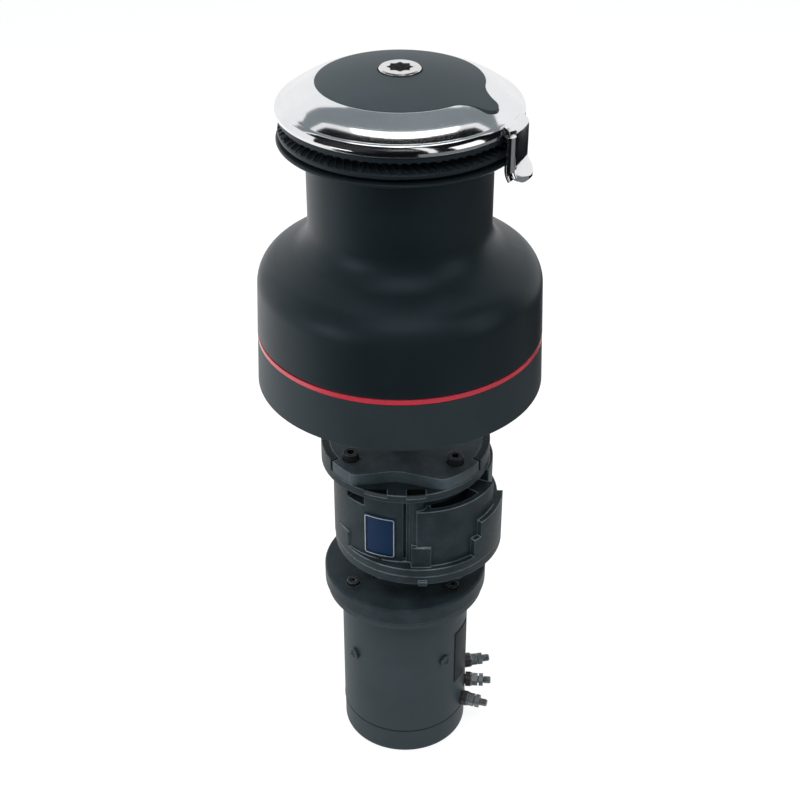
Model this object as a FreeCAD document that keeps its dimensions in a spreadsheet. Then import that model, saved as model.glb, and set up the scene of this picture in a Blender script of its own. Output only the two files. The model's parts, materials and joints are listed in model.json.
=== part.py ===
import FreeCAD, Part
import math
import os
from types import SimpleNamespace

import Sketcher

# Electric self-tailing sailboat winch, in millimetres.
# The origin is on the drum axis, in the plane of the deck. +Z points up.
# The rope arm points to the right and to the front, towards +X and -Y.

# Driving dimensions

SIZES = {
    # running and seating clearances
    "seat_gap": 0.05,
    "bearing_gap": 0.05,
    "running_gap": 0.3,
    "slip_gap": 0.2,
    # base plate, skirt and trim ring
    "skirt_step": 0.1,
    "skirt_flare": 1.9,
    "skirt_height": 50,
    "skirt_wall": 4,
    "trim_height": 4.5,
    "trim_wall": 6,
    "plate_thickness": 12,
    "deck_bolt_inset": 25.5,
    "deck_hole_diameter": 10.5,
    "deck_hole_count": 6,
    # drum
    "drum_gap": 1.5,
    "drum_radius": 141.5,
    "drum_taper": 2,
    "drum_wall": 7.5,
    "shoulder_height": 106,
    "shoulder_round": 32,
    "shoulder_angle": 62,
    "neck_radius": 88.5,
    "neck_round": 30,
    "drum_top": 258,
    "crown_radius": 115,
    "crown_edge": 4,
    "crown_slope": 4.5,
    "crown_round": 7,
    "web_height": 78,
    "bore_radius": 72,
    "bore_lip": 3.5,
    "bore_wall": 8,
    "lightening_depth": 44,
    # stem and drum bearings
    "stem_radius": 60,
    "stem_wall": 10,
    "stem_drop": 8,
    "stem_flange_radius": 90,
    "stem_flange_height": 66,
    "stem_flange_thickness": 10,
    "stem_head_thickness": 14,
    "stem_step": 4.5,
    "window_wall_outer": 88,
    "window_wall_inner": 78,
    "window_wall_span": 250,
    "stem_foot_inner": 62,
    "stem_foot_thickness": 8,
    "stem_screw_circle": 70,
    "stem_screw_span": 210,
    "stem_screw_count": 5,
    "roller_count": 10,
    "roller_length": 26,
    "cage_floor": 3,
    "cage_wall": 6,
    "lower_bearing_height": 94,
    "upper_bearing_height": 214,
    # self-tailing jaws
    "jaw_radius": 113,
    "jaw_bore": 76,
    "jaw_hub_radius": 92,
    "jaw_travel": 3,
    "jaw_seat_gap": 0.5,
    "jaw_edge": 5,
    "groove_mouth": 10.5,
    "groove_throat": 2.5,
    "jaw_hub_rise": 8.2,
    "jaw_pair_height": 23.9,
    "jaw_rib_count": 20,
    "jaw_rib_height": 1,
    "jaw_rib_width": 2.2,
    "jaw_post_circle": 84,
    "jaw_post_radius": 5.5,
    "jaw_post_count": 6,
    "wave_inner": 96,
    "wave_outer": 102,
    "wave_count": 6,
    "wave_thickness": 0.8,
    # stripper ring, arm, carrier and cap
    "stripper_radius": 115.2,
    "stripper_gap": 0.8,
    "stripper_edge_rise": 3.8,
    "stripper_face_radius": 109,
    "stripper_face_rise": 6.5,
    "stripper_inner_rise": 16.3,
    "stripper_bore": 62,
    "stripper_face_round": 92,
    "stripper_edge_round": 10,
    "carrier_rise": 7.3,
    "stripper_web": 7,
    "cap_radius": 77.5,
    "cap_lobe_reach": 89,
    "cap_lobe_round": 11.5,
    "cap_lobe_hollow": 38,
    "cap_lobe_angle": -32,
    "cap_thickness": 23,
    "cap_dome": 295,
    "arm_angle": -27.5,
    "arm_span": 19,
    "arm_gap": 1.4,
    "arm_thickness": 4.8,
    "arm_bottom": 254,
    "arm_bend": 9,
    "arm_lip_reach": 132,
    "arm_flare": 52,
    "arm_lip_round": 22,
    "arm_bead_radius": 4.8,
    "arm_bead_bend": 14,
    "arm_bead_flare": 42,
    "peeler_thickness": 2,
    "peeler_reach": 99.5,
    "peeler_span": 13,
    # handle socket and main spindle
    "socket_rise": 1.6,
    "socket_radius": 19.5,
    "socket_head": 9,
    "socket_body_radius": 17,
    "socket_depth": 38,
    "socket_floor": 6,
    "socket_chamfer": 1.2,
    "handle_square": 17.66,
    "spindle_radius": 12.5,
    "bush_radius": 18,
    # winch gear train
    "gear_module": 2.5,
    "backlash": 0.3,
    "spindle_teeth": 20,
    "layshaft_teeth": 40,
    "pinion_teeth": 16,
    "ring_teeth": 76,
    "drive_gear_bottom": 18,
    "drive_gear_width": 18,
    "ring_gear_bottom": 42,
    "ring_gear_width": 18,
    "ring_gear_radius": 112,
    "ring_screw_circle": 105,
    "ring_screw_count": 6,
    "layshaft_pin_radius": 8,
    "layshaft_pin_socket": 8,
    # ratchet inside the layshaft gear
    "ratchet_root": 35,
    "ratchet_tip": 31.5,
    "ratchet_teeth": 12,
    "carrier_radius": 30,
    "ratchet_web": 6,
    "pawl_pivot": 22,
    "pawl_boss": 3.8,
    "pawl_pin": 2,
    "pawl_height": 7.4,
    # deck tube and adapter plate
    "tube_radius": 24,
    "tube_flange_radius": 40,
    "tube_flange_thickness": 8,
    "tube_collar_radius": 27,
    "tube_collar_height": 8,
    "tube_pilot_radius": 22,
    "adapter_top": -80.5,
    "adapter_thickness": 13.5,
    "adapter_radius": 80,
    "adapter_front_radius": 88,
    "adapter_screw_circle": 69.5,
    "adapter_cut": 66.4,
    "adapter_cut_round": 40,
    "unit_screw_spread": 40,
    "unit_screw_turn": -3.5,
    # gearbox housing
    "unit_offset": 5.8,
    "lobe_offset": 20,
    "gearbox_radius": 76.5,
    "gearbox_flange_radius": 88.5,
    "gearbox_flange_thickness": 9,
    "rim_wall": 8,
    "lobe_radius": 84,
    "lobe_top": -118,
    "lobe_shoulder": -150,
    "upper_case_radius": 78,
    "gearbox_split": -197,
    "split_flange_radius": 90,
    "split_flange_thickness": 9,
    "cover_thickness": 10,
    "cover_boss_radius": 60,
    "cover_boss_height": 15,
    "spigot_radius": 48,
    "spigot_bore": 40,
    "motor_flange_top": -245,
    # reduction gears
    "fine_module": 1.5,
    "coarse_module": 2,
    "motor_pinion_teeth": 14,
    "fine_wheel_teeth": 46,
    "coarse_pinion_teeth": 14,
    "coarse_wheel_teeth": 35,
    "output_shaft_radius": 12,
    "output_stub_radius": 10,
    "intermediate_radius": 8,
    # motor
    "motor_flange_radius": 88.5,
    "motor_flange_thickness": 19,
    "motor_rim_radius": 86,
    "motor_rim_thickness": 9,
    "motor_radius": 70,
    "motor_wall": 6.5,
    "motor_seam": -440,
    "seam_gap": 1,
    "end_cap_radius": 69.5,
    "motor_bottom": -473,
    "motor_screw_circle": 70,
    "pole_height": -345,
    "pole_length": 110,
    "armature_radius": 49,
    "air_gap": 0.8,
    "motor_shaft_radius": 9,
    "motor_bearing_radius": 17,
    "commutator_radius": 24,
    "stud_radius": 4,
    "stud_reach": 30,
    "stud_end": 8.1,
    "insulator_radius": 8.5,
}

doc = FreeCAD.newDocument("Winch")
sheet = doc.addObject("Spreadsheet::Sheet", "Sizes")


class Size:
    """A length, angle or count, as its number and as the expression that gives it."""

    def __init__(self, value, text=None):
        self.value = float(value)
        self.text = text if text is not None else repr(self.value)

    def join(self, other, sign, value):
        return Size(value, f"({self.text} {sign} {as_size(other).text})")

    def __add__(self, other):
        return self.join(other, "+", self.value + as_size(other).value)

    def __sub__(self, other):
        return self.join(other, "-", self.value - as_size(other).value)

    def __mul__(self, other):
        return self.join(other, "*", self.value * as_size(other).value)

    def __truediv__(self, other):
        return self.join(other, "/", self.value / as_size(other).value)

    def __radd__(self, other):
        return as_size(other) + self

    def __rsub__(self, other):
        return as_size(other) - self

    def __rmul__(self, other):
        return as_size(other) * self

    def __rtruediv__(self, other):
        return as_size(other) / self

    def __neg__(self):
        return Size(-self.value, f"(-1 * {self.text})")


def as_size(value):
    return value if isinstance(value, Size) else Size(value)


def cosine(angle):
    angle = as_size(angle)
    return Size(math.cos(math.radians(angle.value)), f"cos({angle.text})")


def sine(angle):
    angle = as_size(angle)
    return Size(math.sin(math.radians(angle.value)), f"sin({angle.text})")


def tangent(angle):
    angle = as_size(angle)
    return Size(math.tan(math.radians(angle.value)), f"tan({angle.text})")


def arc_cosine(ratio):
    degrees = math.degrees(math.acos(ratio.value))
    return Size(degrees, f"(acos({ratio.text}) / 1 deg)")


def root(square):
    return Size(math.sqrt(square.value), f"sqrt({square.text})")


def fill_sheet():
    """One row for each driving dimension: its name, and its value under that alias."""
    for row, (name, value) in enumerate(SIZES.items(), start=1):
        sheet.set(f"A{row}", name)
        sheet.set(f"B{row}", str(value))
        sheet.setAlias(f"B{row}", name)
    doc.recompute()
    return SimpleNamespace(**{name: Size(sheet.get(name), f"Sizes.{name}") for name in SIZES})


s = fill_sheet()


# Drawing helpers

def bind(thing, field, value):
    thing.setExpression(field, as_size(value).text)


def place(thing, x=0, y=0, z=0, turn=0):
    """Put a sub-part at its seat, turned about its upright axis."""
    for field, value in (("Base.x", x), ("Base.y", y), ("Base.z", z), ("Rotation.Angle", turn)):
        bind(thing, f"Placement.{field}", value)
    return thing


def origin_feature(body, role):
    return [feature for feature in body.Origin.OriginFeatures if feature.Role == role][0]


def polar(radius, angle):
    """The point at this radius and angle."""
    return (radius * cosine(angle), radius * sine(angle))


def arc(x, y, radius):
    """A corner that is reached by an arc. A negative radius bends it clockwise."""
    return ("arc", as_size(x), as_size(y), as_size(radius))


def circle(x, y, radius):
    return ("circle", as_size(x), as_size(y), as_size(radius))


def pin_point(drawing, edge, end, x, y):
    """Fix a point of an edge by its distances from the origin of the sketch."""
    for kind, size, axis in (("DistanceX", x, -2), ("DistanceY", y, -1)):
        if abs(size.value) < 1e-9:
            drawing.addConstraint(Sketcher.Constraint("PointOnObject", edge, end, axis))
        else:
            index = drawing.addConstraint(Sketcher.Constraint(kind, edge, end, size.value))
            bind(drawing, f"Constraints[{index}]", size)


def draw_circle(drawing, x, y, radius):
    shape = Part.Circle(FreeCAD.Vector(x.value, y.value, 0), FreeCAD.Vector(0, 0, 1), radius.value)
    edge = drawing.addGeometry(shape)
    index = drawing.addConstraint(Sketcher.Constraint("Radius", edge, radius.value))
    bind(drawing, f"Constraints[{index}]", radius)
    pin_point(drawing, edge, 3, x, y)


def arc_between(start, end, radius):
    """The short arc from start to end, counter-clockwise for a positive radius."""
    run = (end[0] - start[0], end[1] - start[1])
    chord = math.hypot(*run)
    side = 1 if radius > 0 else -1
    rise = side * math.sqrt(max(radius * radius - chord * chord / 4, 0)) / chord
    centre = FreeCAD.Vector(
        (start[0] + end[0]) / 2 - run[1] * rise, (start[1] + end[1]) / 2 + run[0] * rise, 0)
    angles = [math.atan2(point[1] - centre.y, point[0] - centre.x) for point in (start, end)]
    if side < 0:
        angles.reverse()
    whole = Part.Circle(centre, FreeCAD.Vector(0, 0, 1), abs(radius))
    return Part.ArcOfCircle(whole, *angles)


def draw_loop(drawing, corners):
    """Draw a closed outline. Each corner is a point, or an arc that ends in a point."""
    points = []
    for corner in corners:
        x, y = corner[1:3] if corner[0] == "arc" else corner
        points.append((as_size(x), as_size(y)))
    edges = []
    for place_of, start in enumerate(points):
        following = (place_of + 1) % len(points)
        end = points[following]
        corner = corners[following]
        first = (start[0].value, start[1].value)
        last = (end[0].value, end[1].value)
        if corner[0] == "arc":
            radius = corner[3]
            edge = drawing.addGeometry(arc_between(first, last, radius.value))
            index = drawing.addConstraint(Sketcher.Constraint("Radius", edge, abs(radius.value)))
            bind(drawing, f"Constraints[{index}]", radius if radius.value > 0 else -radius)
            edges.append((edge, 1, 2) if radius.value > 0 else (edge, 2, 1))
        else:
            line = Part.LineSegment(FreeCAD.Vector(*first, 0), FreeCAD.Vector(*last, 0))
            edges.append((drawing.addGeometry(line), 1, 2))
    for place_of, (edge, start, end) in enumerate(edges):
        following = edges[(place_of + 1) % len(edges)]
        drawing.addConstraint(Sketcher.Constraint("Coincident", edge, end, following[0], following[1]))
    for (edge, start, end), (x, y) in zip(edges, points):
        pin_point(drawing, edge, start, x, y)


def sketch(body, role, loops, lift=0):
    """A sketch on one of the body's own origin planes, lifted along its normal."""
    drawing = body.newObject("Sketcher::SketchObject", "Outline")
    drawing.AttachmentSupport = [(origin_feature(body, role), "")]
    drawing.MapMode = "FlatFace"
    bind(drawing, "AttachmentOffset.Base.z", lift)
    for loop in loops:
        if loop[0] == "circle":
            draw_circle(drawing, *loop[1:])
        else:
            draw_loop(drawing, loop)
    return drawing


def new_body(label, x=0, y=0, z=0, turn=0):
    body = doc.addObject("PartDesign::Body", label)
    body.Label = label
    return place(body, x, y, z, turn)


def revolve(body, corners, span=None):
    """Turn an outline of (radius, height) corners about the body's upright axis."""
    turned = body.newObject("PartDesign::Revolution", "Turned")
    turned.Profile = sketch(body, "XZ_Plane", [corners])
    turned.ReferenceAxis = (turned.Profile[0], ["V_Axis"])
    turned.Angle = 360
    if span is not None:
        turned.Midplane = True
        bind(turned, "Angle", span)
    return turned


def groove(body, corners):
    """Turn an outline away from the body."""
    turned = body.newObject("PartDesign::Groove", "Turned")
    turned.Profile = sketch(body, "XZ_Plane", [corners])
    turned.ReferenceAxis = (turned.Profile[0], ["V_Axis"])
    turned.Angle = 360
    return turned


def pad(body, loops, bottom, height):
    """Raise flat outlines from the height bottom."""
    raised = body.newObject("PartDesign::Pad", "Raised")
    raised.Profile = sketch(body, "XY_Plane", loops, bottom)
    bind(raised, "Length", height)
    return raised


def pocket(body, loops, top, depth):
    """Sink flat outlines from the height top downwards."""
    sunk = body.newObject("PartDesign::Pocket", "Sunk")
    sunk.Profile = sketch(body, "XY_Plane", loops, top)
    bind(sunk, "Length", depth)
    return sunk


def repeat(body, feature, count, span=None):
    """Repeat a feature round the body's upright axis."""
    pattern = body.newObject("PartDesign::PolarPattern", "Repeated")
    pattern.Originals = [feature]
    pattern.Axis = (origin_feature(body, "Z_Axis"), [""])
    bind(pattern, "Occurrences", count)
    pattern.Angle = 360
    if span is not None:
        bind(pattern, "Angle", span)
    body.Tip = pattern
    return pattern


def cylinder(name, radius, height, x=0, y=0, z=0, turn=0, span=None):
    rod = doc.addObject("Part::Cylinder", name)
    bind(rod, "Radius", radius)
    bind(rod, "Height", height)
    if span is not None:
        bind(rod, "Angle", span)
    return place(rod, x, y, z, turn)


def block(name, length, width, height, x=0, y=0, z=0, turn=0):
    brick = doc.addObject("Part::Box", name)
    bind(brick, "Length", length)
    bind(brick, "Width", width)
    bind(brick, "Height", height)
    return place(brick, x, y, z, turn)


def fuse(name, parts):
    joined = doc.addObject("Part::MultiFuse", name)
    joined.Shapes = parts
    joined.Label = name
    return joined


def cut(name, base, tool):
    left = doc.addObject("Part::Cut", name)
    left.Base = base
    left.Tool = tool
    left.Label = name
    return left


def group(name, parts):
    """Several separate solids of one kind, kept in one file."""
    whole = doc.addObject("Part::Compound", name)
    whole.Links = parts
    whole.Label = name
    return whole


def ring(name, outer, inner, height, x=0, y=0, z=0, turn=0, span=None):
    """A plain ring or a sector of one. The inner cutter runs past both faces."""
    shell = cylinder(f"{name}_outer", outer, height, x, y, z, turn, span)
    core = cylinder(f"{name}_inner", inner, height + 2, x, y, z - 1)
    return cut(name, shell, core)


def aim_outwards(thing, x, angle, reach, z):
    """Lay an upright primitive down, pointing away from the axis at x."""
    middle = as_size(angle).value
    level = FreeCAD.Vector(-math.sin(math.radians(middle)), math.cos(math.radians(middle)), 0)
    thing.Placement = FreeCAD.Placement(FreeCAD.Vector(), FreeCAD.Rotation(level, 90))
    bind(thing, "Placement.Rotation.Angle", 90)
    bind(thing, "Placement.Base.x", x + reach * cosine(angle))
    bind(thing, "Placement.Base.y", reach * sine(angle))
    bind(thing, "Placement.Base.z", z)
    return thing


# Gear teeth

PRESSURE_ANGLE = 20


def flank_angle(module, teeth, radius, backlash, inward=1):
    """Half the angle of a tooth at a radius, from the involute of its base circle."""
    pitch = module * teeth / 2
    base = pitch * cosine(PRESSURE_ANGLE)
    slope = arc_cosine(base / radius)
    involute = tangent(slope) * (180 / math.pi) - slope
    start = math.degrees(math.tan(math.radians(PRESSURE_ANGLE))) - PRESSURE_ANGLE
    half = 90 / teeth
    play = backlash / 2 / pitch * (180 / math.pi) / 2
    return half - play + inward * (start - involute)


def tooth_outline(module, teeth, backlash):
    """One outward tooth on the X axis: foot, base circle, pitch circle and tip on each side."""
    pitch = module * teeth / 2
    foot = pitch - module * 1.25
    tip = pitch + module
    low = pitch - module * 0.35
    wide = flank_angle(module, teeth, low, backlash)
    levels = [
        (foot - module * 0.3, wide),
        (foot, wide),
        (low, wide),
        (pitch, flank_angle(module, teeth, pitch, backlash)),
        (tip, flank_angle(module, teeth, tip, backlash)),
    ]
    right = [polar(radius, -angle) for radius, angle in levels]
    left = [polar(radius, angle) for radius, angle in reversed(levels)]
    return right + left


def plain_tooth_outline(module, teeth, backlash):
    """A tooth with one straight flank on each side, for the wheels in the closed gearbox."""
    pitch = module * teeth / 2
    foot = pitch - module * 1.25
    low = pitch - module * 0.35
    tip = pitch + module * 0.95
    wide = flank_angle(module, teeth, low, backlash)
    levels = [
        (foot - module * 0.3, wide),
        (low, wide),
        (tip, flank_angle(module, teeth, tip, backlash)),
    ]
    right = [polar(radius, -angle) for radius, angle in levels]
    left = [polar(radius, angle) for radius, angle in reversed(levels)]
    return right + left


def inward_tooth_outline(module, teeth, backlash):
    """One tooth of an internal gear on the X axis, from its tip out to its foot."""
    pitch = module * teeth / 2
    tip = pitch - module * 0.95
    foot = pitch + module * 1.25
    levels = [
        (tip, flank_angle(module, teeth, tip, backlash, -1)),
        (pitch, flank_angle(module, teeth, pitch, backlash, -1)),
        (foot, flank_angle(module, teeth, foot, backlash, -1)),
        (foot + module * 0.3, flank_angle(module, teeth, foot, backlash, -1)),
    ]
    right = [polar(radius, -angle) for radius, angle in levels]
    left = [polar(radius, angle) for radius, angle in reversed(levels)]
    return right + left


def root_radius(module, teeth):
    return module * teeth / 2 - module * 1.25


def spur_gear(body, module, teeth, bore, bottom, width, outline=tooth_outline):
    """A toothed disc on the body, between bottom and bottom + width."""
    blank = root_radius(module, teeth)
    pad(body, [circle(0, 0, blank), circle(0, 0, bore)], bottom, width)
    tooth = pad(body, [outline(module, teeth, s.backlash)], bottom, width)
    repeat(body, tooth, teeth)


# Heights and places that follow from the driving dimensions

TOP = s.plate_thickness
SKIRT_TOP_RADIUS = s.drum_radius + s.skirt_step
SKIRT_RADIUS = SKIRT_TOP_RADIUS + s.skirt_flare
SKIRT_INNER = SKIRT_RADIUS - s.skirt_wall
DECK_BOLT_RADIUS = SKIRT_RADIUS - s.deck_bolt_inset
DRUM_SHOULDER_RADIUS = s.drum_radius - s.drum_taper
DRUM_BOTTOM = s.skirt_height + s.trim_height + s.drum_gap
CENTRE_DISTANCE = s.gear_module * (s.spindle_teeth + s.layshaft_teeth) / 2
LAYSHAFT_ANGLE = 90
STEM_TOP = s.drum_top - s.stem_drop

LOWER_JAW_BOTTOM = s.drum_top + s.jaw_travel + s.jaw_seat_gap
LOWER_HUB_TOP = LOWER_JAW_BOTTOM + s.jaw_hub_rise
LOWER_EDGE_TOP = LOWER_JAW_BOTTOM + s.jaw_edge
UPPER_HUB_BOTTOM = LOWER_HUB_TOP + s.groove_throat
UPPER_EDGE_BOTTOM = LOWER_EDGE_TOP + s.groove_mouth
UPPER_JAW_TOP = s.drum_top + s.jaw_pair_height
STRIPPER_BOTTOM = UPPER_JAW_TOP + s.stripper_gap
STRIPPER_EDGE_TOP = STRIPPER_BOTTOM + s.stripper_edge_rise
STRIPPER_FACE_HEIGHT = STRIPPER_EDGE_TOP + s.stripper_face_rise
STRIPPER_INNER_HEIGHT = STRIPPER_FACE_HEIGHT + s.stripper_inner_rise
CARRIER_TOP = STRIPPER_BOTTOM + s.carrier_rise
CAP_FLOOR = CARRIER_TOP + s.stripper_web
CAP_CROWN = CAP_FLOOR + s.cap_thickness
SOCKET_TOP = CAP_CROWN + s.socket_rise

ADAPTER_BOTTOM = s.adapter_top - s.adapter_thickness
GEARBOX_FLANGE_BOTTOM = ADAPTER_BOTTOM - s.gearbox_flange_thickness
COVER_BOTTOM = s.gearbox_split - s.cover_thickness
COVER_BOSS_BOTTOM = COVER_BOTTOM - s.cover_boss_height
MOTOR_FLANGE_BOTTOM = s.motor_flange_top - s.motor_flange_thickness
MOTOR_RIM_BOTTOM = MOTOR_FLANGE_BOTTOM - s.motor_rim_thickness
SPIGOT_DEPTH = 7

FINE_DISTANCE = s.fine_module * (s.motor_pinion_teeth + s.fine_wheel_teeth) / 2
COARSE_DISTANCE = s.coarse_module * (s.coarse_pinion_teeth + s.coarse_wheel_teeth) / 2
IDLER_X = (
    (COARSE_DISTANCE * COARSE_DISTANCE - FINE_DISTANCE * FINE_DISTANCE) / s.unit_offset + s.unit_offset
) / 2
IDLER_Y = root(COARSE_DISTANCE * COARSE_DISTANCE - IDLER_X * IDLER_X)
FINE_WHEEL_BOTTOM = s.gearbox_split + 4
FINE_WHEEL_WIDTH = 12
BEARING_WEB_BOTTOM = s.gearbox_split + 21
BEARING_WEB_TOP = BEARING_WEB_BOTTOM + 8
COARSE_WHEEL_BOTTOM = BEARING_WEB_TOP + 6
COARSE_WHEEL_WIDTH = 16
CHAMBER_TOP = BEARING_WEB_TOP + 46

ROLLER_RADIUS = (s.bore_radius - s.stem_radius) / 2 - s.running_gap
CARRIER_SCREW_CIRCLE = s.stem_radius - 10
RING_HOLD_CIRCLE = s.stripper_bore + 5
RING_TURN = LAYSHAFT_ANGLE + 180 / s.ring_teeth
ARM_INNER = s.stripper_radius + s.arm_gap
LOWER_BUSH_LENGTH = 20
SPINDLE_BOTTOM = s.adapter_top - 8
ADAPTER_STEP_LEFT = -148
ADAPTER_STEP_RIGHT = -32
SLOT_DEPTH = 12
LIP_TRIM = 40
LIP_TRIM_RISE = 8
PAWL_TURN = 37.5
PAWL_FLOOR = 2.4
PAWL_NOSE_X = 7.4
PAWL_NOSE_Y = -15.6
TUBE_SCREW_CIRCLE = (s.tube_radius + s.tube_flange_radius) / 2 + 1
ADAPTER_SCREW_LENGTH = 26
COVER_BOLT_COUNT = 6
COVER_BOLT_CIRCLE = s.lobe_radius - 4
COVER_BOLT_LENGTH = 16
OUTPUT_BEARING_RADIUS = 23
OUTPUT_BEARING_WIDTH = 14
STUB_BEARING_RADIUS = 19
IDLER_BEARING_RADIUS = 16
IDLER_BEARING_WIDTH = 8
IDLER_ANGLE = Size(
    math.degrees(math.atan2(IDLER_Y.value, IDLER_X.value)),
    f"(atan2({IDLER_Y.text}; {IDLER_X.text}) / 1 deg)")
IDLER_TO_MOTOR_X = s.unit_offset - IDLER_X
MOTOR_FROM_IDLER = Size(
    math.degrees(math.atan2(-IDLER_Y.value, IDLER_TO_MOTOR_X.value)),
    f"(atan2(-1 * {IDLER_Y.text}; {IDLER_TO_MOTOR_X.text}) / 1 deg)")
SEAL_RADIUS = 20
MOTOR_NOSE_RADIUS = 6
MOTOR_SCREW_SINK = 4
POLE_ANGLE = -52
COMMUTATOR_BOTTOM = s.motor_seam - 4
BRUSH_LEDGE = s.motor_seam - 12
INSULATOR_NECK = 6
STUD_ROOT = 12
STUD_WAIST = 0.6
STUD_CHAMFER = 0.8
TERMINALS = ((10, -408), (-4, -421), (-19, -433))


# Base, skirt and stem

def base_plate():
    """The round base: six deck holes, the tube's seat and the layshaft's boss."""
    body = new_body("base_plate")
    pad(body, [circle(0, 0, SKIRT_INNER - s.slip_gap)], 0, s.plate_thickness)
    boss_x, boss_y = polar(CENTRE_DISTANCE, LAYSHAFT_ANGLE)
    boss_height = s.drive_gear_bottom - s.plate_thickness - s.running_gap
    pad(body, [circle(boss_x, boss_y, s.layshaft_pin_radius + 6)], s.plate_thickness, boss_height)
    pocket(body, [circle(boss_x, boss_y, s.layshaft_pin_radius + s.seat_gap)],
           s.drive_gear_bottom, s.drive_gear_bottom - s.plate_thickness + s.layshaft_pin_socket)
    pocket(body, [circle(0, 0, s.tube_radius + s.slip_gap)], s.plate_thickness, s.plate_thickness)
    pocket(body, [circle(0, 0, s.tube_flange_radius + s.slip_gap)],
           s.plate_thickness, s.tube_flange_thickness)
    hole_x, hole_y = polar(DECK_BOLT_RADIUS, 30)
    hole = pocket(body, [circle(hole_x, hole_y, s.deck_hole_diameter / 2)],
                  s.plate_thickness, s.plate_thickness)
    repeat(body, hole, s.deck_hole_count)
    return body


def base_skirt():
    """The slightly tapered dark skirt that covers the base."""
    body = new_body("base_skirt")
    top_inner = SKIRT_TOP_RADIUS - s.skirt_wall
    revolve(body, [
        (SKIRT_INNER, 0),
        (SKIRT_RADIUS, 0),
        (SKIRT_TOP_RADIUS, s.skirt_height),
        (top_inner, s.skirt_height),
        (SKIRT_INNER, s.plate_thickness),
    ])
    return body


def red_trim_ring():
    body = new_body("red_trim_ring", z=s.skirt_height)
    inner = SKIRT_TOP_RADIUS - s.trim_wall
    revolve(body, [
        (inner, 0),
        (SKIRT_TOP_RADIUS, 0),
        (SKIRT_TOP_RADIUS, s.trim_height),
        (inner, s.trim_height),
    ])
    return body


def centre_stem():
    """The post: a foot, a wall with the window for the layshaft gear, and the bearing tube."""
    body = new_body("centre_stem", turn=LAYSHAFT_ANGLE - 180)
    flange_top = s.stem_flange_height + s.stem_flange_thickness
    head_bottom = STEM_TOP - s.stem_head_thickness
    step_top = s.lower_bearing_height
    step_radius = s.stem_radius + s.stem_step
    revolve(body, [
        (s.stem_radius - s.stem_wall, s.stem_flange_height),
        (s.stem_flange_radius, s.stem_flange_height),
        (s.stem_flange_radius, flange_top),
        (step_radius + 4, flange_top),
        arc(step_radius, flange_top + 4, -4),
        (step_radius, step_top),
        (s.stem_radius, step_top),
        (s.stem_radius, STEM_TOP),
        (s.bush_radius + s.seat_gap, STEM_TOP),
        (s.bush_radius + s.seat_gap, head_bottom),
        (s.stem_radius - s.stem_wall, head_bottom),
    ])
    revolve(body, [
        (s.stem_foot_inner, TOP),
        (s.window_wall_outer, TOP),
        (s.window_wall_outer, s.stem_flange_height),
        (s.window_wall_inner, s.stem_flange_height),
        (s.window_wall_inner, TOP + s.stem_foot_thickness),
        (s.stem_foot_inner, TOP + s.stem_foot_thickness),
    ], s.window_wall_span)
    x, y = polar(s.stem_screw_circle, -1 * s.stem_screw_span / 2)
    hole = pocket(body, [circle(x, y, 4.4)], TOP + s.stem_foot_thickness, s.stem_foot_thickness)
    repeat(body, hole, s.stem_screw_count, s.stem_screw_span)
    pocket(body, [circle(-CENTRE_DISTANCE, 0, s.layshaft_pin_radius + s.seat_gap)],
                      flange_top, s.stem_flange_thickness)
    x, y = polar(CARRIER_SCREW_CIRCLE, 45)
    hole = pocket(body, [circle(x, y, 3.1)], STEM_TOP, s.stem_head_thickness)
    repeat(body, hole, 4)
    return body


def stem_screws():
    body = new_body("stem_screws", turn=LAYSHAFT_ANGLE - 180)
    x, y = polar(s.stem_screw_circle, -1 * s.stem_screw_span / 2)
    head_bottom = TOP + s.stem_foot_thickness
    shank = pad(body, [circle(x, y, 4)], TOP, s.stem_foot_thickness)
    head = pad(body, [circle(x, y, 6.5)], head_bottom, 8)
    key = pocket(body, [hexagon(x, y, 3.4)], head_bottom + 8, 5)
    pattern = repeat(body, shank, s.stem_screw_count, s.stem_screw_span)
    pattern.Originals = [shank, head, key]
    return body


def hexagon(x, y, reach):
    """The six corners of a hexagon about a point."""
    corners = []
    for corner in range(6):
        dx, dy = polar(as_size(reach), 60 * corner)
        corners.append((x + dx, y + dy))
    return corners


# Drum and its bearings

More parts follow.
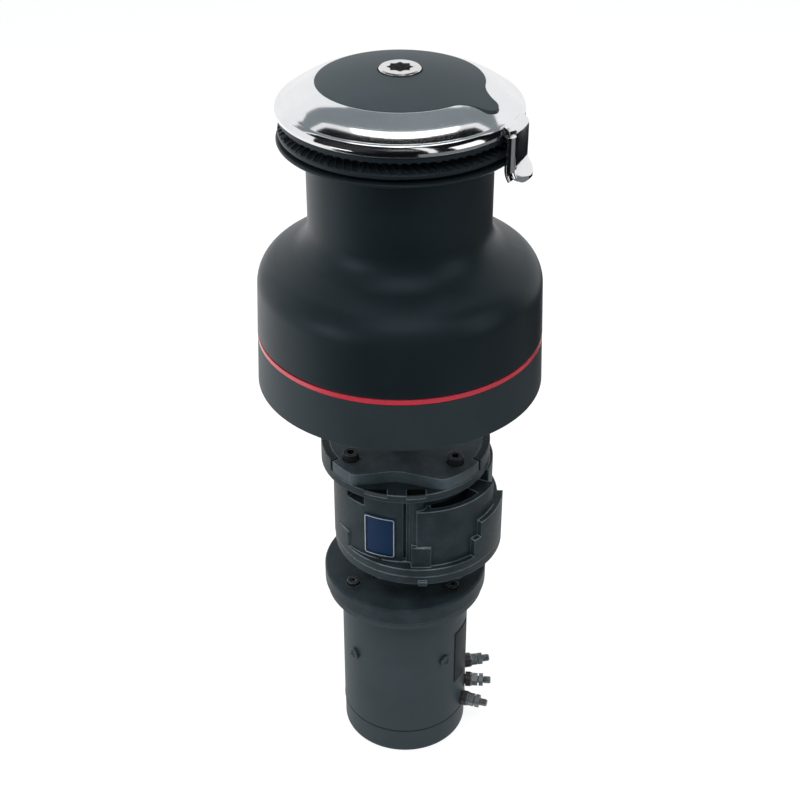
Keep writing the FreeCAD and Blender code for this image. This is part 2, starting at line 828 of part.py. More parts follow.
def drum():
    """The crown: lower skirt, round shoulder, hollow fillet, neck and top flange."""
    body = new_body("drum")
    angle = s.shoulder_angle
    round_x = DRUM_SHOULDER_RADIUS - s.shoulder_round
    shoulder_x = round_x + s.shoulder_round * cosine(angle)
    shoulder_z = s.shoulder_height + s.shoulder_round * sine(angle)
    fall = (shoulder_x + s.neck_round * cosine(angle) - s.neck_radius - s.neck_round) / sine(angle)
    hollow_x = shoulder_x - fall * sine(angle)
    hollow_z = shoulder_z + fall * cosine(angle)
    neck_start = hollow_z + s.neck_round * sine(angle)
    crown_under = s.drum_top - s.crown_edge
    neck_end = crown_under - s.crown_slope - s.crown_round
    inner = s.drum_radius - s.drum_wall
    rim = s.ring_gear_radius + 2
    bore_outer = s.bore_radius + s.bore_wall
    gear_relief = s.ring_screw_circle - 8
    lip = s.bore_radius - s.bore_lip
    lower_seat_top = s.lower_bearing_height + 34
    revolve(body, [
        (s.bore_radius, s.web_height),
        (bore_outer, s.web_height),
        (bore_outer, s.web_height + s.lightening_depth),
        (gear_relief, s.web_height + s.lightening_depth),
        (gear_relief, s.web_height),
        (rim, s.web_height),
        (rim + 3, s.shoulder_height - 4),
        (inner - 6, s.shoulder_height - 1),
        arc(inner, s.shoulder_height - 7, -6),
        (inner, DRUM_BOTTOM),
        (s.drum_radius - 1, DRUM_BOTTOM),
        (s.drum_radius, DRUM_BOTTOM + 1),
        (DRUM_SHOULDER_RADIUS, s.shoulder_height),
        arc(shoulder_x, shoulder_z, s.shoulder_round),
        (hollow_x, hollow_z),
        arc(s.neck_radius, neck_start, -s.neck_round),
        (s.neck_radius, neck_end),
        arc(s.neck_radius + s.crown_round, neck_end + s.crown_round, -s.crown_round),
        (s.crown_radius - 2, crown_under),
        arc(s.crown_radius, crown_under + 2, 2.2),
        (s.crown_radius, s.drum_top - 1.5),
        arc(s.crown_radius - 1.5, s.drum_top, 1.5),
        (s.bore_radius, s.drum_top),
        (s.bore_radius, s.upper_bearing_height),
        (lip, s.upper_bearing_height),
        (lip, lower_seat_top + s.bore_lip),
        (s.bore_radius, lower_seat_top),
    ])
    x, y = polar(s.ring_screw_circle, 0)
    hole = pocket(body, [circle(x, y, 3.1)], s.web_height + 14, 14)
    repeat(body, hole, s.ring_screw_count)
    x, y = polar(s.jaw_post_circle, 30)
    hole = pocket(body, [circle(x, y, 2.6)], s.drum_top, 14)
    repeat(body, hole, s.jaw_post_count)
    return body


def drum_ring_gear():
    """The internal gear, with a tall flange up to the drum's web."""
    body = new_body("drum_ring_gear", turn=RING_TURN)
    foot = s.gear_module * s.ring_teeth / 2 + s.gear_module * 1.25
    height = s.web_height - s.ring_gear_bottom
    pad(body, [circle(0, 0, s.ring_gear_radius), circle(0, 0, foot)], s.ring_gear_bottom, height)
    tooth = pad(body, [inward_tooth_outline(s.gear_module, s.ring_teeth, s.backlash)],
                s.ring_gear_bottom, s.ring_gear_width)
    repeat(body, tooth, s.ring_teeth)
    x, y = polar(s.ring_screw_circle, -RING_TURN)
    hole = pocket(body, [circle(x, y, 3.3)], s.web_height, height)
    repeat(body, hole, s.ring_screw_count)
    return body


def ring_gear_screws():
    """Six screws that hold the ring gear to the drum, heads down."""
    body = new_body("ring_gear_screws", z=s.ring_gear_bottom)
    x, y = polar(s.ring_screw_circle, 0)
    length = s.web_height - s.ring_gear_bottom + 10
    head = pad(body, [circle(x, y, 5)], -6, 6)
    shank = pad(body, [circle(x, y, 3)], 0, length)
    pattern = repeat(body, head, s.ring_screw_count)
    pattern.Originals = [head, shank]
    return body


def bearing_cage(label, height):
    """A ring with one open pocket for each roller."""
    body = new_body(label, z=height + s.running_gap)
    middle = (s.stem_radius + s.bore_radius) / 2
    whole = s.roller_length + s.cage_floor + s.running_gap
    pad(body, [circle(0, 0, middle + s.cage_wall / 2), circle(0, 0, middle - s.cage_wall / 2)], 0, whole)
    slot = pocket(body, [circle(middle, 0, ROLLER_RADIUS + s.running_gap)],
                  whole, s.roller_length + s.running_gap)
    repeat(body, slot, s.roller_count)
    return body


def bearing_rollers(label, height):
    middle = (s.stem_radius + s.bore_radius) / 2
    body = new_body(label, z=height + s.running_gap + s.cage_floor + s.running_gap)
    roller = pad(body, [circle(middle, 0, ROLLER_RADIUS)], 0, s.roller_length)
    repeat(body, roller, s.roller_count)
    return body


# Self-tailing jaws, stripper ring, arm and cap

def lower_jaw():
    """The sprung jaw. It slides down on the posts of the upper jaw."""
    body = new_body("lower_jaw")
    revolve(body, [
        (s.jaw_bore, LOWER_JAW_BOTTOM),
        (s.jaw_radius - 1.5, LOWER_JAW_BOTTOM),
        arc(s.jaw_radius, LOWER_JAW_BOTTOM + 1.5, 1.5),
        (s.jaw_radius, LOWER_EDGE_TOP - 1),
        (s.jaw_radius - 1, LOWER_EDGE_TOP),
        (s.jaw_hub_radius, LOWER_HUB_TOP),
        (s.jaw_bore, LOWER_HUB_TOP),
    ])
    rib = revolve_rib(body, LOWER_EDGE_TOP, LOWER_HUB_TOP, 1)
    repeat(body, rib, s.jaw_rib_count)
    x, y = polar(s.jaw_post_circle, 30)
    hole = pocket(body, [circle(x, y, s.jaw_post_radius + s.running_gap)],
                  LOWER_HUB_TOP, LOWER_HUB_TOP - LOWER_JAW_BOTTOM)
    repeat(body, hole, s.jaw_post_count)
    return body


def revolve_rib(body, edge, hub, rise):
    """A raised rib on the cone between hub and edge: a thin wedge turned through a few degrees."""
    inner = s.jaw_hub_radius + 2
    outer = s.jaw_radius - 2
    slope = (edge - hub) / (s.jaw_radius - s.jaw_hub_radius)
    low = hub + slope * 2
    high = edge - slope * 2
    tip = s.jaw_rib_height * rise
    turned = body.newObject("PartDesign::Revolution", "Rib")
    turned.Profile = sketch(body, "XZ_Plane", [[
        (inner, low - tip),
        (outer, high - tip),
        (outer, high + tip),
        (inner, low + tip),
    ]])
    turned.ReferenceAxis = (turned.Profile[0], ["V_Axis"])
    turned.Midplane = True
    bind(turned, "Angle", s.jaw_rib_width / s.jaw_radius * (180 / math.pi) * 1.5)
    return turned


def upper_jaw():
    """The fixed jaw, carried on six posts that stand on the drum."""
    body = new_body("upper_jaw")
    revolve(body, [
        (s.jaw_bore, UPPER_HUB_BOTTOM),
        (s.jaw_hub_radius, UPPER_HUB_BOTTOM),
        (s.jaw_radius - 1, UPPER_EDGE_BOTTOM),
        (s.jaw_radius, UPPER_EDGE_BOTTOM + 1),
        (s.jaw_radius, UPPER_JAW_TOP - 1),
        arc(s.jaw_radius - 1, UPPER_JAW_TOP, 1),
        (s.jaw_bore, UPPER_JAW_TOP),
    ])
    rib = revolve_rib(body, UPPER_EDGE_BOTTOM, UPPER_HUB_BOTTOM, 1)
    repeat(body, rib, s.jaw_rib_count)
    x, y = polar(s.jaw_post_circle, 30)
    post = pad(body, [circle(x, y, s.jaw_post_radius)], s.drum_top, UPPER_HUB_BOTTOM - s.drum_top + 1)
    hole = pocket(body, [circle(x, y, 3.2)], UPPER_JAW_TOP, UPPER_JAW_TOP - s.drum_top)
    sink = pocket(body, [circle(x, y, 5.3)], UPPER_JAW_TOP, 4.5)
    pattern = repeat(body, post, s.jaw_post_count)
    pattern.Originals = [post, hole, sink]
    return body


def jaw_screws():
    body = new_body("jaw_screws", z=UPPER_JAW_TOP)
    x, y = polar(s.jaw_post_circle, 30)
    head = pad(body, [circle(x, y, 5)], -4.5, 4)
    shank = pad(body, [circle(x, y, 2.5)], s.drum_top - UPPER_JAW_TOP - 10,
                UPPER_JAW_TOP - s.drum_top + 10 - 4)
    pattern = repeat(body, head, s.jaw_post_count)
    pattern.Originals = [head, shank]
    return body


def wave_spring():
    """A flat ring bent up and down in waves, between the drum's flange and the lower jaw."""
    lift = LOWER_JAW_BOTTOM - s.drum_top - s.wave_thickness - s.slip_gap
    points = int(s.wave_count.value) * 8
    wires = []
    for radius, rise in ((s.wave_inner, 0), (s.wave_outer, 0), (s.wave_inner, 1), (s.wave_outer, 1)):
        crest = []
        for step in range(points):
            angle = 2 * math.pi * step / points
            wave = (1 + math.cos(angle * s.wave_count.value)) / 2 * lift.value
            z = s.drum_top.value + s.slip_gap.value / 2 + wave + rise * s.wave_thickness.value
            crest.append(FreeCAD.Vector(radius.value * math.cos(angle), radius.value * math.sin(angle), z))
        curve = Part.BSplineCurve()
        curve.interpolate(crest, PeriodicFlag=True)
        wires.append(curve.toShape())
    low_inner, low_outer, high_inner, high_outer = wires
    faces = [Part.makeRuledSurface(*pair) for pair in (
        (low_inner, low_outer), (high_inner, high_outer), (low_inner, high_inner), (low_outer, high_outer))]
    spring = doc.addObject("Part::Feature", "wave_spring")
    shell = Part.Shell([face for surface in faces for face in surface.Faces])
    shell.sewShape()
    solid = Part.Solid(shell)
    if solid.Volume < 0:
        solid.reverse()
    spring.Shape = solid
    spring.Label = "wave_spring"
    return spring


def stripper_carrier():
    """The fixed spool on the stem that carries the stripper ring."""
    body = new_body("stripper_carrier", z=STEM_TOP)
    rise = CARRIER_TOP - STEM_TOP
    bore = s.socket_radius + 2
    revolve(body, [
        (bore, 0),
        (s.stem_radius - 1, 0),
        (s.stem_radius - 1, 7),
        (bore + 12, 10),
        (bore + 12, rise - 10),
        (s.jaw_bore - 4, rise - 5),
        (s.jaw_bore - 4, rise),
        (bore, rise),
    ])
    x, y = polar(CARRIER_SCREW_CIRCLE, 45)
    hole = pocket(body, [circle(x, y, 3.2)], 10, 10)
    sink = pocket(body, [circle(x, y, 5.3)], 14, 6)
    pattern = repeat(body, hole, 4)
    pattern.Originals = [hole, sink]
    x, y = polar(RING_HOLD_CIRCLE, 45)
    hole = pocket(body, [circle(x, y, 2.6)], rise, 5)
    repeat(body, hole, 4)
    return body


def carrier_screws():
    """Four screws down into the stem."""
    body = new_body("carrier_screws", z=STEM_TOP)
    x, y = polar(CARRIER_SCREW_CIRCLE, 45)
    shank = pad(body, [circle(x, y, 3)], -10, 18)
    head = pad(body, [circle(x, y, 5)], 8, 6)
    key = pocket(body, [hexagon(x, y, 2.9)], 14, 3)
    pattern = repeat(body, shank, 4)
    pattern.Originals = [shank, head, key]
    return body


def cap_outline(clearance):
    """A disc with one lobe along X that ends in a round tip, with hollow flanks."""
    radius = s.cap_radius + clearance
    tip = s.cap_lobe_round + clearance
    hollow = s.cap_lobe_hollow - clearance
    reach = s.cap_lobe_reach
    far = radius + hollow
    near = tip + hollow
    spread = arc_cosine((far * far + reach * reach - near * near) / (2 * far * reach))
    x, y = polar(radius, spread)
    centre_x, centre_y = polar(far, spread)
    tip_x = reach + (centre_x - reach) * tip / near
    tip_y = centre_y * tip / near
    return [
        arc(x, y, -hollow),
        arc(*polar(radius, 120), radius),
        arc(*polar(radius, 240), radius),
        arc(x, -y, radius),
        arc(tip_x, -tip_y, -hollow),
        arc(reach + tip, 0, tip),
        arc(tip_x, tip_y, tip),
    ]


def stripper_ring():
    """The polished fixed ring with the rope arm, and the recess for the cap."""
    body = new_body("stripper_ring", turn=s.cap_lobe_angle)
    edge = s.stripper_radius
    revolve(body, [
        (s.stripper_bore, CARRIER_TOP),
        (s.jaw_bore + 1, CARRIER_TOP),
        (s.jaw_bore + 4, STRIPPER_BOTTOM),
        (edge - 1, STRIPPER_BOTTOM),
        (edge, STRIPPER_BOTTOM + 1),
        (edge, STRIPPER_EDGE_TOP),
        arc(s.stripper_face_radius, STRIPPER_FACE_HEIGHT, s.stripper_edge_round),
        arc(s.cap_radius + 1, STRIPPER_INNER_HEIGHT, s.stripper_face_round),
        (s.stripper_bore, STRIPPER_INNER_HEIGHT),
    ])
    pocket(body, [cap_outline(s.slip_gap)], STRIPPER_INNER_HEIGHT + 1,
           STRIPPER_INNER_HEIGHT + 1 - CAP_FLOOR)
    x, y = polar(RING_HOLD_CIRCLE, 45 - s.cap_lobe_angle)
    hole = pocket(body, [circle(x, y, 2.7)], CAP_FLOOR, CAP_FLOOR - CARRIER_TOP)
    repeat(body, hole, 4)
    rope_arm(body)
    return body


def rope_arm(body):
    """The arm on the ring: a curved plate that hangs down, with a flared lip and a round edge."""
    outer = ARM_INNER + s.arm_thickness
    flare = s.arm_bend - s.arm_thickness
    bend_x = outer + flare
    turn = 180 + s.arm_flare
    down = polar(s.arm_bend, turn)
    up = polar(flare, turn)
    run = (s.arm_lip_reach - bend_x - up[0]) / sine(s.arm_flare)
    drop = run * cosine(s.arm_flare)
    top = STRIPPER_EDGE_TOP - 3.5
    plate = body.newObject("PartDesign::Revolution", "Arm")
    plate.Profile = sketch(body, "XZ_Plane", [[
        (s.stripper_radius - 3, top),
        (ARM_INNER, top),
        (ARM_INNER, s.arm_bottom),
        arc(bend_x + down[0], s.arm_bottom + down[1], s.arm_bend),
        (bend_x + down[0] + run * sine(s.arm_flare), s.arm_bottom + down[1] - drop),
        arc(s.arm_lip_reach, s.arm_bottom + up[1] - drop, s.arm_thickness * 0.52),
        (bend_x + up[0], s.arm_bottom + up[1]),
        arc(outer, s.arm_bottom, -flare),
        (outer, STRIPPER_EDGE_TOP - 2),
        arc(s.stripper_radius - 2, STRIPPER_FACE_HEIGHT - 1, 9),
    ]])
    plate.Profile[0].AttachmentOffset = FreeCAD.Placement(
        FreeCAD.Vector(), FreeCAD.Rotation(FreeCAD.Vector(0, 1, 0), 0))
    bind(plate.Profile[0], "AttachmentOffset.Rotation.Angle", s.arm_angle - s.cap_lobe_angle)
    plate.ReferenceAxis = (plate.Profile[0], ["V_Axis"])
    plate.Midplane = True
    bind(plate, "Angle", s.arm_span)
    x, y = polar(s.arm_lip_reach - s.arm_lip_round, s.arm_angle - s.cap_lobe_angle)
    pocket(body, [circle(x, y, s.arm_lip_round), circle(x, y, s.arm_lip_round + LIP_TRIM)],
           s.arm_bottom + LIP_TRIM_RISE, LIP_TRIM)
    bead_angle = s.arm_angle - s.cap_lobe_angle - s.arm_span / 2
    rope_bead(body, ARM_INNER + s.arm_bead_radius, bead_angle)


def rope_bead(body, radius, angle):
    """The round edge of the arm: it runs straight down and bends outwards at its end."""
    bend = s.arm_bead_bend
    turn = 180 + s.arm_bead_flare
    top = STRIPPER_EDGE_TOP - 1
    x, y = polar(radius, angle)
    profile = sketch(body, "XY_Plane", [circle(x, y, s.arm_bead_radius)], top)
    path = body.newObject("Sketcher::SketchObject", "Path")
    path.AttachmentSupport = [(origin_feature(body, "XZ_Plane"), "")]
    path.MapMode = "FlatFace"
    path.AttachmentOffset = FreeCAD.Placement(
        FreeCAD.Vector(), FreeCAD.Rotation(FreeCAD.Vector(0, 1, 0), 0))
    bind(path, "AttachmentOffset.Rotation.Angle", angle)
    low = (radius, s.arm_bottom)
    end = (radius + bend + bend * cosine(turn), s.arm_bottom + bend * sine(turn))
    corners = [(as_size(x).value, as_size(y).value) for x, y in ((radius, top), low, end)]
    line = path.addGeometry(Part.LineSegment(
        FreeCAD.Vector(*corners[0], 0), FreeCAD.Vector(*corners[1], 0)))
    curve = path.addGeometry(arc_between(corners[1], corners[2], bend.value))
    path.addConstraint(Sketcher.Constraint("Coincident", line, 2, curve, 1))
    index = path.addConstraint(Sketcher.Constraint("Radius", curve, bend.value))
    bind(path, f"Constraints[{index}]", bend)
    pin_point(path, line, 1, radius, top)
    pin_point(path, line, 2, *low)
    pin_point(path, curve, 2, *end)
    bead = body.newObject("PartDesign::AdditivePipe", "Bead")
    bead.Profile = profile
    bead.Spine = (path, ["Edge1", "Edge2"])
    return bead


def top_cap():
    """The domed dark cap with its pointed lobe and the hole for the socket."""
    body = new_body("top_cap", turn=s.cap_lobe_angle)
    reach = s.cap_lobe_reach + s.cap_lobe_round + 4
    hole = s.socket_radius + 1
    edge_drop = s.cap_dome - root(s.cap_dome * s.cap_dome - reach * reach)
    pad(body, [cap_outline(0)], CAP_FLOOR, CAP_CROWN - CAP_FLOOR)
    groove(body, [
        (0, CAP_CROWN),
        arc(reach, CAP_CROWN - edge_drop, -s.cap_dome),
        (reach, CAP_CROWN + 2),
        (0, CAP_CROWN + 2),
    ])
    pocket(body, [circle(0, 0, hole)], CAP_CROWN + 1, CAP_CROWN + 1 - CAP_FLOOR)
    return body


def peeler():
    """The thin guide that lifts the rope out of the jaws, fixed to the rope arm."""
    body = new_body("peeler", turn=s.arm_angle)
    hub_middle = (LOWER_HUB_TOP + UPPER_HUB_BOTTOM) / 2
    edge_middle = (LOWER_EDGE_TOP + UPPER_EDGE_BOTTOM) / 2
    share = (s.peeler_reach - s.jaw_hub_radius) / (s.jaw_radius - s.jaw_hub_radius)
    middle = hub_middle + (edge_middle - hub_middle) * share
    revolve(body, [
        (s.peeler_reach, middle - s.peeler_thickness / 2),
        (ARM_INNER, middle - s.peeler_thickness / 2),
        (ARM_INNER, middle + s.peeler_thickness / 2),
        (s.peeler_reach, middle + s.peeler_thickness / 2),
    ], s.peeler_span)
    return body


def handle_socket():
    """The socket for a winch handle: an eight-pointed star made of two squares."""
    body = new_body("handle_socket")
    head_bottom = SOCKET_TOP - s.socket_head
    bottom = SOCKET_TOP - s.socket_depth - s.socket_floor
    revolve(body, [
        (0, bottom),
        (s.socket_body_radius, bottom),
        (s.socket_body_radius, head_bottom),
        (s.socket_radius, head_bottom),
        (s.socket_radius, SOCKET_TOP - s.socket_chamfer),
        (s.socket_radius - s.socket_chamfer, SOCKET_TOP),
        (0, SOCKET_TOP),
    ])
    half = s.handle_square / 2
    tip = half / cosine(45)
    notch = half / cosine(22.5)
    corners = []
    for point in range(8):
        corners.append(polar(tip, 45 * point))
        corners.append(polar(notch, 45 * point + 22.5))
    pocket(body, [corners], SOCKET_TOP, s.socket_depth)
    return body


# Main spindle, layshaft and ratchet

def main_spindle():
    """The long shaft from the gearbox coupling up to the handle socket."""
    body = new_body("main_spindle")
    top = SOCKET_TOP - s.socket_depth - s.socket_floor
    pad(body, [circle(0, 0, s.spindle_radius)], SPINDLE_BOTTOM, top - SPINDLE_BOTTOM)
    return body


def spindle_pinion():
    body = new_body("spindle_pinion", turn=LAYSHAFT_ANGLE)
    spur_gear(body, s.gear_module, s.spindle_teeth, s.spindle_radius + s.seat_gap,
              s.drive_gear_bottom, s.drive_gear_width)
    return body


def spindle_bushes():
    """The upper bush in the stem's head and the lower one in the deck tube."""
    upper = ring("upper_bush", s.bush_radius, s.spindle_radius + s.bearing_gap,
                 s.stem_head_thickness, z=STEM_TOP - s.stem_head_thickness)
    lower = ring("lower_bush", s.bush_radius, s.spindle_radius + s.bearing_gap,
                 LOWER_BUSH_LENGTH, z=TOP - LOWER_BUSH_LENGTH)
    return group("spindle_bushes", [upper, lower])


def layshaft_pin():
    x, y = polar(CENTRE_DISTANCE, LAYSHAFT_ANGLE)
    bottom = s.plate_thickness - s.layshaft_pin_socket
    rod = cylinder("layshaft_pin", s.layshaft_pin_radius,
                   s.stem_flange_height + s.stem_flange_thickness - bottom, x, y, bottom)
    rod.Label = "layshaft_pin"
    return rod


def layshaft_gear():
    """The large driven gear, with the ratchet teeth inside its rim."""
    x, y = polar(CENTRE_DISTANCE, LAYSHAFT_ANGLE)
    turn = LAYSHAFT_ANGLE + 180 + 180 / s.layshaft_teeth
    body = new_body("layshaft_gear", x, y, s.drive_gear_bottom, turn)
    spur_gear(body, s.gear_module, s.layshaft_teeth, s.layshaft_pin_radius + s.bearing_gap,
              0, s.drive_gear_width)
    corners = []
    for tooth in range(int(s.ratchet_teeth.value)):
        angle = 360 / s.ratchet_teeth * tooth
        corners.append(polar(s.ratchet_tip, angle))
        corners.append(polar(s.ratchet_root, angle))
    pocket(body, [corners], s.drive_gear_width, s.drive_gear_width - s.ratchet_web)
    return body


def layshaft_pinion():
    """The small pinion that drives the drum, on the disc that carries the pawls."""
    x, y = polar(CENTRE_DISTANCE, LAYSHAFT_ANGLE)
    body = new_body("layshaft_pinion", x, y, s.drive_gear_bottom, LAYSHAFT_ANGLE)
    bore = s.layshaft_pin_radius + s.bearing_gap
    carrier_bottom = s.ratchet_web + s.running_gap
    carrier_top = s.drive_gear_width - 1
    teeth_bottom = s.ring_gear_bottom - s.drive_gear_bottom
    hub_top = s.stem_flange_height - s.drive_gear_bottom - s.running_gap
    hub = s.layshaft_pin_radius + 6
    revolve(body, [
        (bore, carrier_bottom),
        (s.carrier_radius, carrier_bottom),
        (s.carrier_radius, carrier_top),
        (hub, carrier_top),
        (hub, hub_top),
        (bore, hub_top),
    ])
    blank = root_radius(s.gear_module, s.pinion_teeth)
    pad(body, [circle(0, 0, blank), circle(0, 0, bore)], teeth_bottom, s.ring_gear_width)
    tooth = pad(body, [tooth_outline(s.gear_module, s.pinion_teeth, s.backlash)],
                teeth_bottom, s.ring_gear_width)
    repeat(body, tooth, s.pinion_teeth)
    reach = s.pawl_pivot
    turn = PAWL_TURN
    pocket_points = [
        polar_about(reach, turn, -5, 5),
        polar_about(reach, turn, -4.6, -4),
        polar_about(reach, turn, -2.6, -22),
        polar_about(reach, turn, 16, -22),
        polar_about(reach, turn, 16, 5),
    ]
    floor = carrier_bottom + PAWL_FLOOR
    slot = pocket(body, [pocket_points], carrier_top, carrier_top - floor)
    repeat(body, slot, 2)
    x, y = polar(reach, turn)
    pin = pad(body, [circle(x, y, s.pawl_pin)], floor - 1, carrier_top - floor + 1)
    repeat(body, pin, 2)
    return body


def polar_about(reach, turn, along, across):
    """A point beside the pawl pivot: outwards along its radius, and across it."""
    x = (reach + along) * cosine(turn) - across * sine(turn)
    y = (reach + along) * sine(turn) + across * cosine(turn)
    return (x, y)


def layshaft_pawl(label, side):
    """A pawl with a round boss, a tapered arm and a square nose in the ratchet."""
    x, y = polar(CENTRE_DISTANCE, LAYSHAFT_ANGLE)
    floor = s.drive_gear_bottom + s.ratchet_web + s.running_gap + PAWL_FLOOR + s.running_gap
    px, py = polar(s.pawl_pivot, LAYSHAFT_ANGLE + PAWL_TURN + side)
    body = new_body(label, x + px, y + py, floor, LAYSHAFT_ANGLE + PAWL_TURN + side)
    outline = [
        (s.pawl_boss, 0),
        arc(0, s.pawl_boss, s.pawl_boss),
        arc(-s.pawl_boss, 0, s.pawl_boss),
        (as_size(2.6), as_size(-15.8)),
        (PAWL_NOSE_X, PAWL_NOSE_Y),
        (PAWL_NOSE_X, PAWL_NOSE_Y + 3),
    ]
    pad(body, [outline], 0, s.pawl_height)
    pocket(body, [circle(0, 0, s.pawl_pin + 0.1)], s.pawl_height, s.pawl_height)
    return body


# Deck tube and adapter plate

def deck_tube():
    """The tube that hangs the gearbox under the deck, with its flange in the base plate."""
    body = new_body("deck_tube")
    revolve(body, [
        (s.bush_radius + s.seat_gap, TOP),
        (s.bush_radius + s.seat_gap, ADAPTER_BOTTOM),
        (s.tube_pilot_radius, ADAPTER_BOTTOM),
        (s.tube_pilot_radius, s.adapter_top),
        (s.tube_collar_radius, s.adapter_top),
        (s.tube_collar_radius, s.adapter_top + s.tube_collar_height - 2),
        (s.tube_collar_radius - 2, s.adapter_top + s.tube_collar_height),
        (s.tube_radius, s.adapter_top + s.tube_collar_height),
        (s.tube_radius, TOP - s.tube_flange_thickness),
        (s.tube_flange_radius, TOP - s.tube_flange_thickness),
        (s.tube_flange_radius, TOP),
    ])
    x, y = polar(TUBE_SCREW_CIRCLE, 45)
    hole = pocket(body, [circle(x, y, 3.2)], TOP, s.tube_flange_thickness)
    sink = pocket(body, [circle(x, y, 5.3)], TOP, 4.2)
    pattern = repeat(body, hole, 4)
    pattern.Originals = [hole, sink]
    return body


def deck_tube_screws():
    body = new_body("deck_tube_screws", z=TOP)
    x, y = polar(TUBE_SCREW_CIRCLE, 45)
    head = pad(body, [circle(x, y, 5)], -4.2, 4)
    shank = pad(body, [circle(x, y, 3)], 0 - s.tube_flange_thickness, s.tube_flange_thickness - 4)
    key = pocket(body, [hexagon(x, y, 2.9)], -0.2, 2.5)
    pattern = repeat(body, head, 4)
    pattern.Originals = [head, shank, key]
    return body


def adapter_plate():
    """The plate on the gearbox: round at the back, with a waved front edge."""
    body = new_body("adapter_plate", x=s.unit_offset, z=ADAPTER_BOTTOM)
    radius = s.adapter_radius
    front = s.adapter_front_radius
    outline = [
        polar(radius, ADAPTER_STEP_RIGHT),
        arc(*polar(radius, 60), radius),
        arc(*polar(radius, 145), radius),
        arc(*polar(radius, ADAPTER_STEP_LEFT), radius),
        polar(front, ADAPTER_STEP_LEFT),
        arc(*polar(front, -131), front),
        arc(-47.5, -1 * s.adapter_cut - 4, 9),
        (-24, -1 * s.adapter_cut),
        arc(5, -1 * s.adapter_cut - 2, -s.adapter_cut_round),
        (29, -1 * s.adapter_cut - 10),
        arc(*polar(front, -60), 14),
        arc(*polar(front, ADAPTER_STEP_RIGHT), front),
    ]
    pad(body, [outline], 0, s.adapter_thickness)
    pocket(body, [circle(-s.unit_offset, 0, s.tube_pilot_radius + s.slip_gap)],
           s.adapter_thickness, s.adapter_thickness)
    pocket(body, [circle(*spot, 5.3) for spot in adapter_screw_spots()],
           s.adapter_thickness, s.adapter_thickness)
    pocket(body, [circle(*spot, 9) for spot in adapter_screw_spots()], s.adapter_thickness, 2)
    return body


def adapter_screw_spots():
    """The four adapter screws, measured from the middle of the gearbox."""
    return [polar(s.adapter_screw_circle, angle) for angle in unit_screw_angles()]


def unit_screw_angles():
    """The corners of the long, slightly turned rectangle on which the screws stand."""
    spread = s.unit_screw_spread
    return [s.unit_screw_turn + angle for angle in (-spread, spread - 180, 180 - spread, spread)]


def adapter_screws():
    """Four M10 socket-head screws into the gearbox flange."""
    body = new_body("adapter_screws", x=s.unit_offset, z=s.adapter_top - 2)
    spots = adapter_screw_spots()
    pad(body, [circle(*spot, 5) for spot in spots], -1 * ADAPTER_SCREW_LENGTH, ADAPTER_SCREW_LENGTH)
    pad(body, [circle(*spot, 8) for spot in spots], 0, 10)
    pocket(body, [hexagon(*spot, 4.6) for spot in spots], 10, 6)
    return body


# Gearbox

def sector(name, outer, inner, bottom, top, middle_x, start, end):
    """A cast pad: the part of a ring between two angles about an upright axis."""
    span = end - start
    shell = cylinder(f"{name}_outer", outer, top - bottom, middle_x, 0, bottom, start, span)
    core = cylinder(f"{name}_inner", inner, top - bottom + 2, middle_x, 0, bottom - 1)
    return cut(name, shell, core)


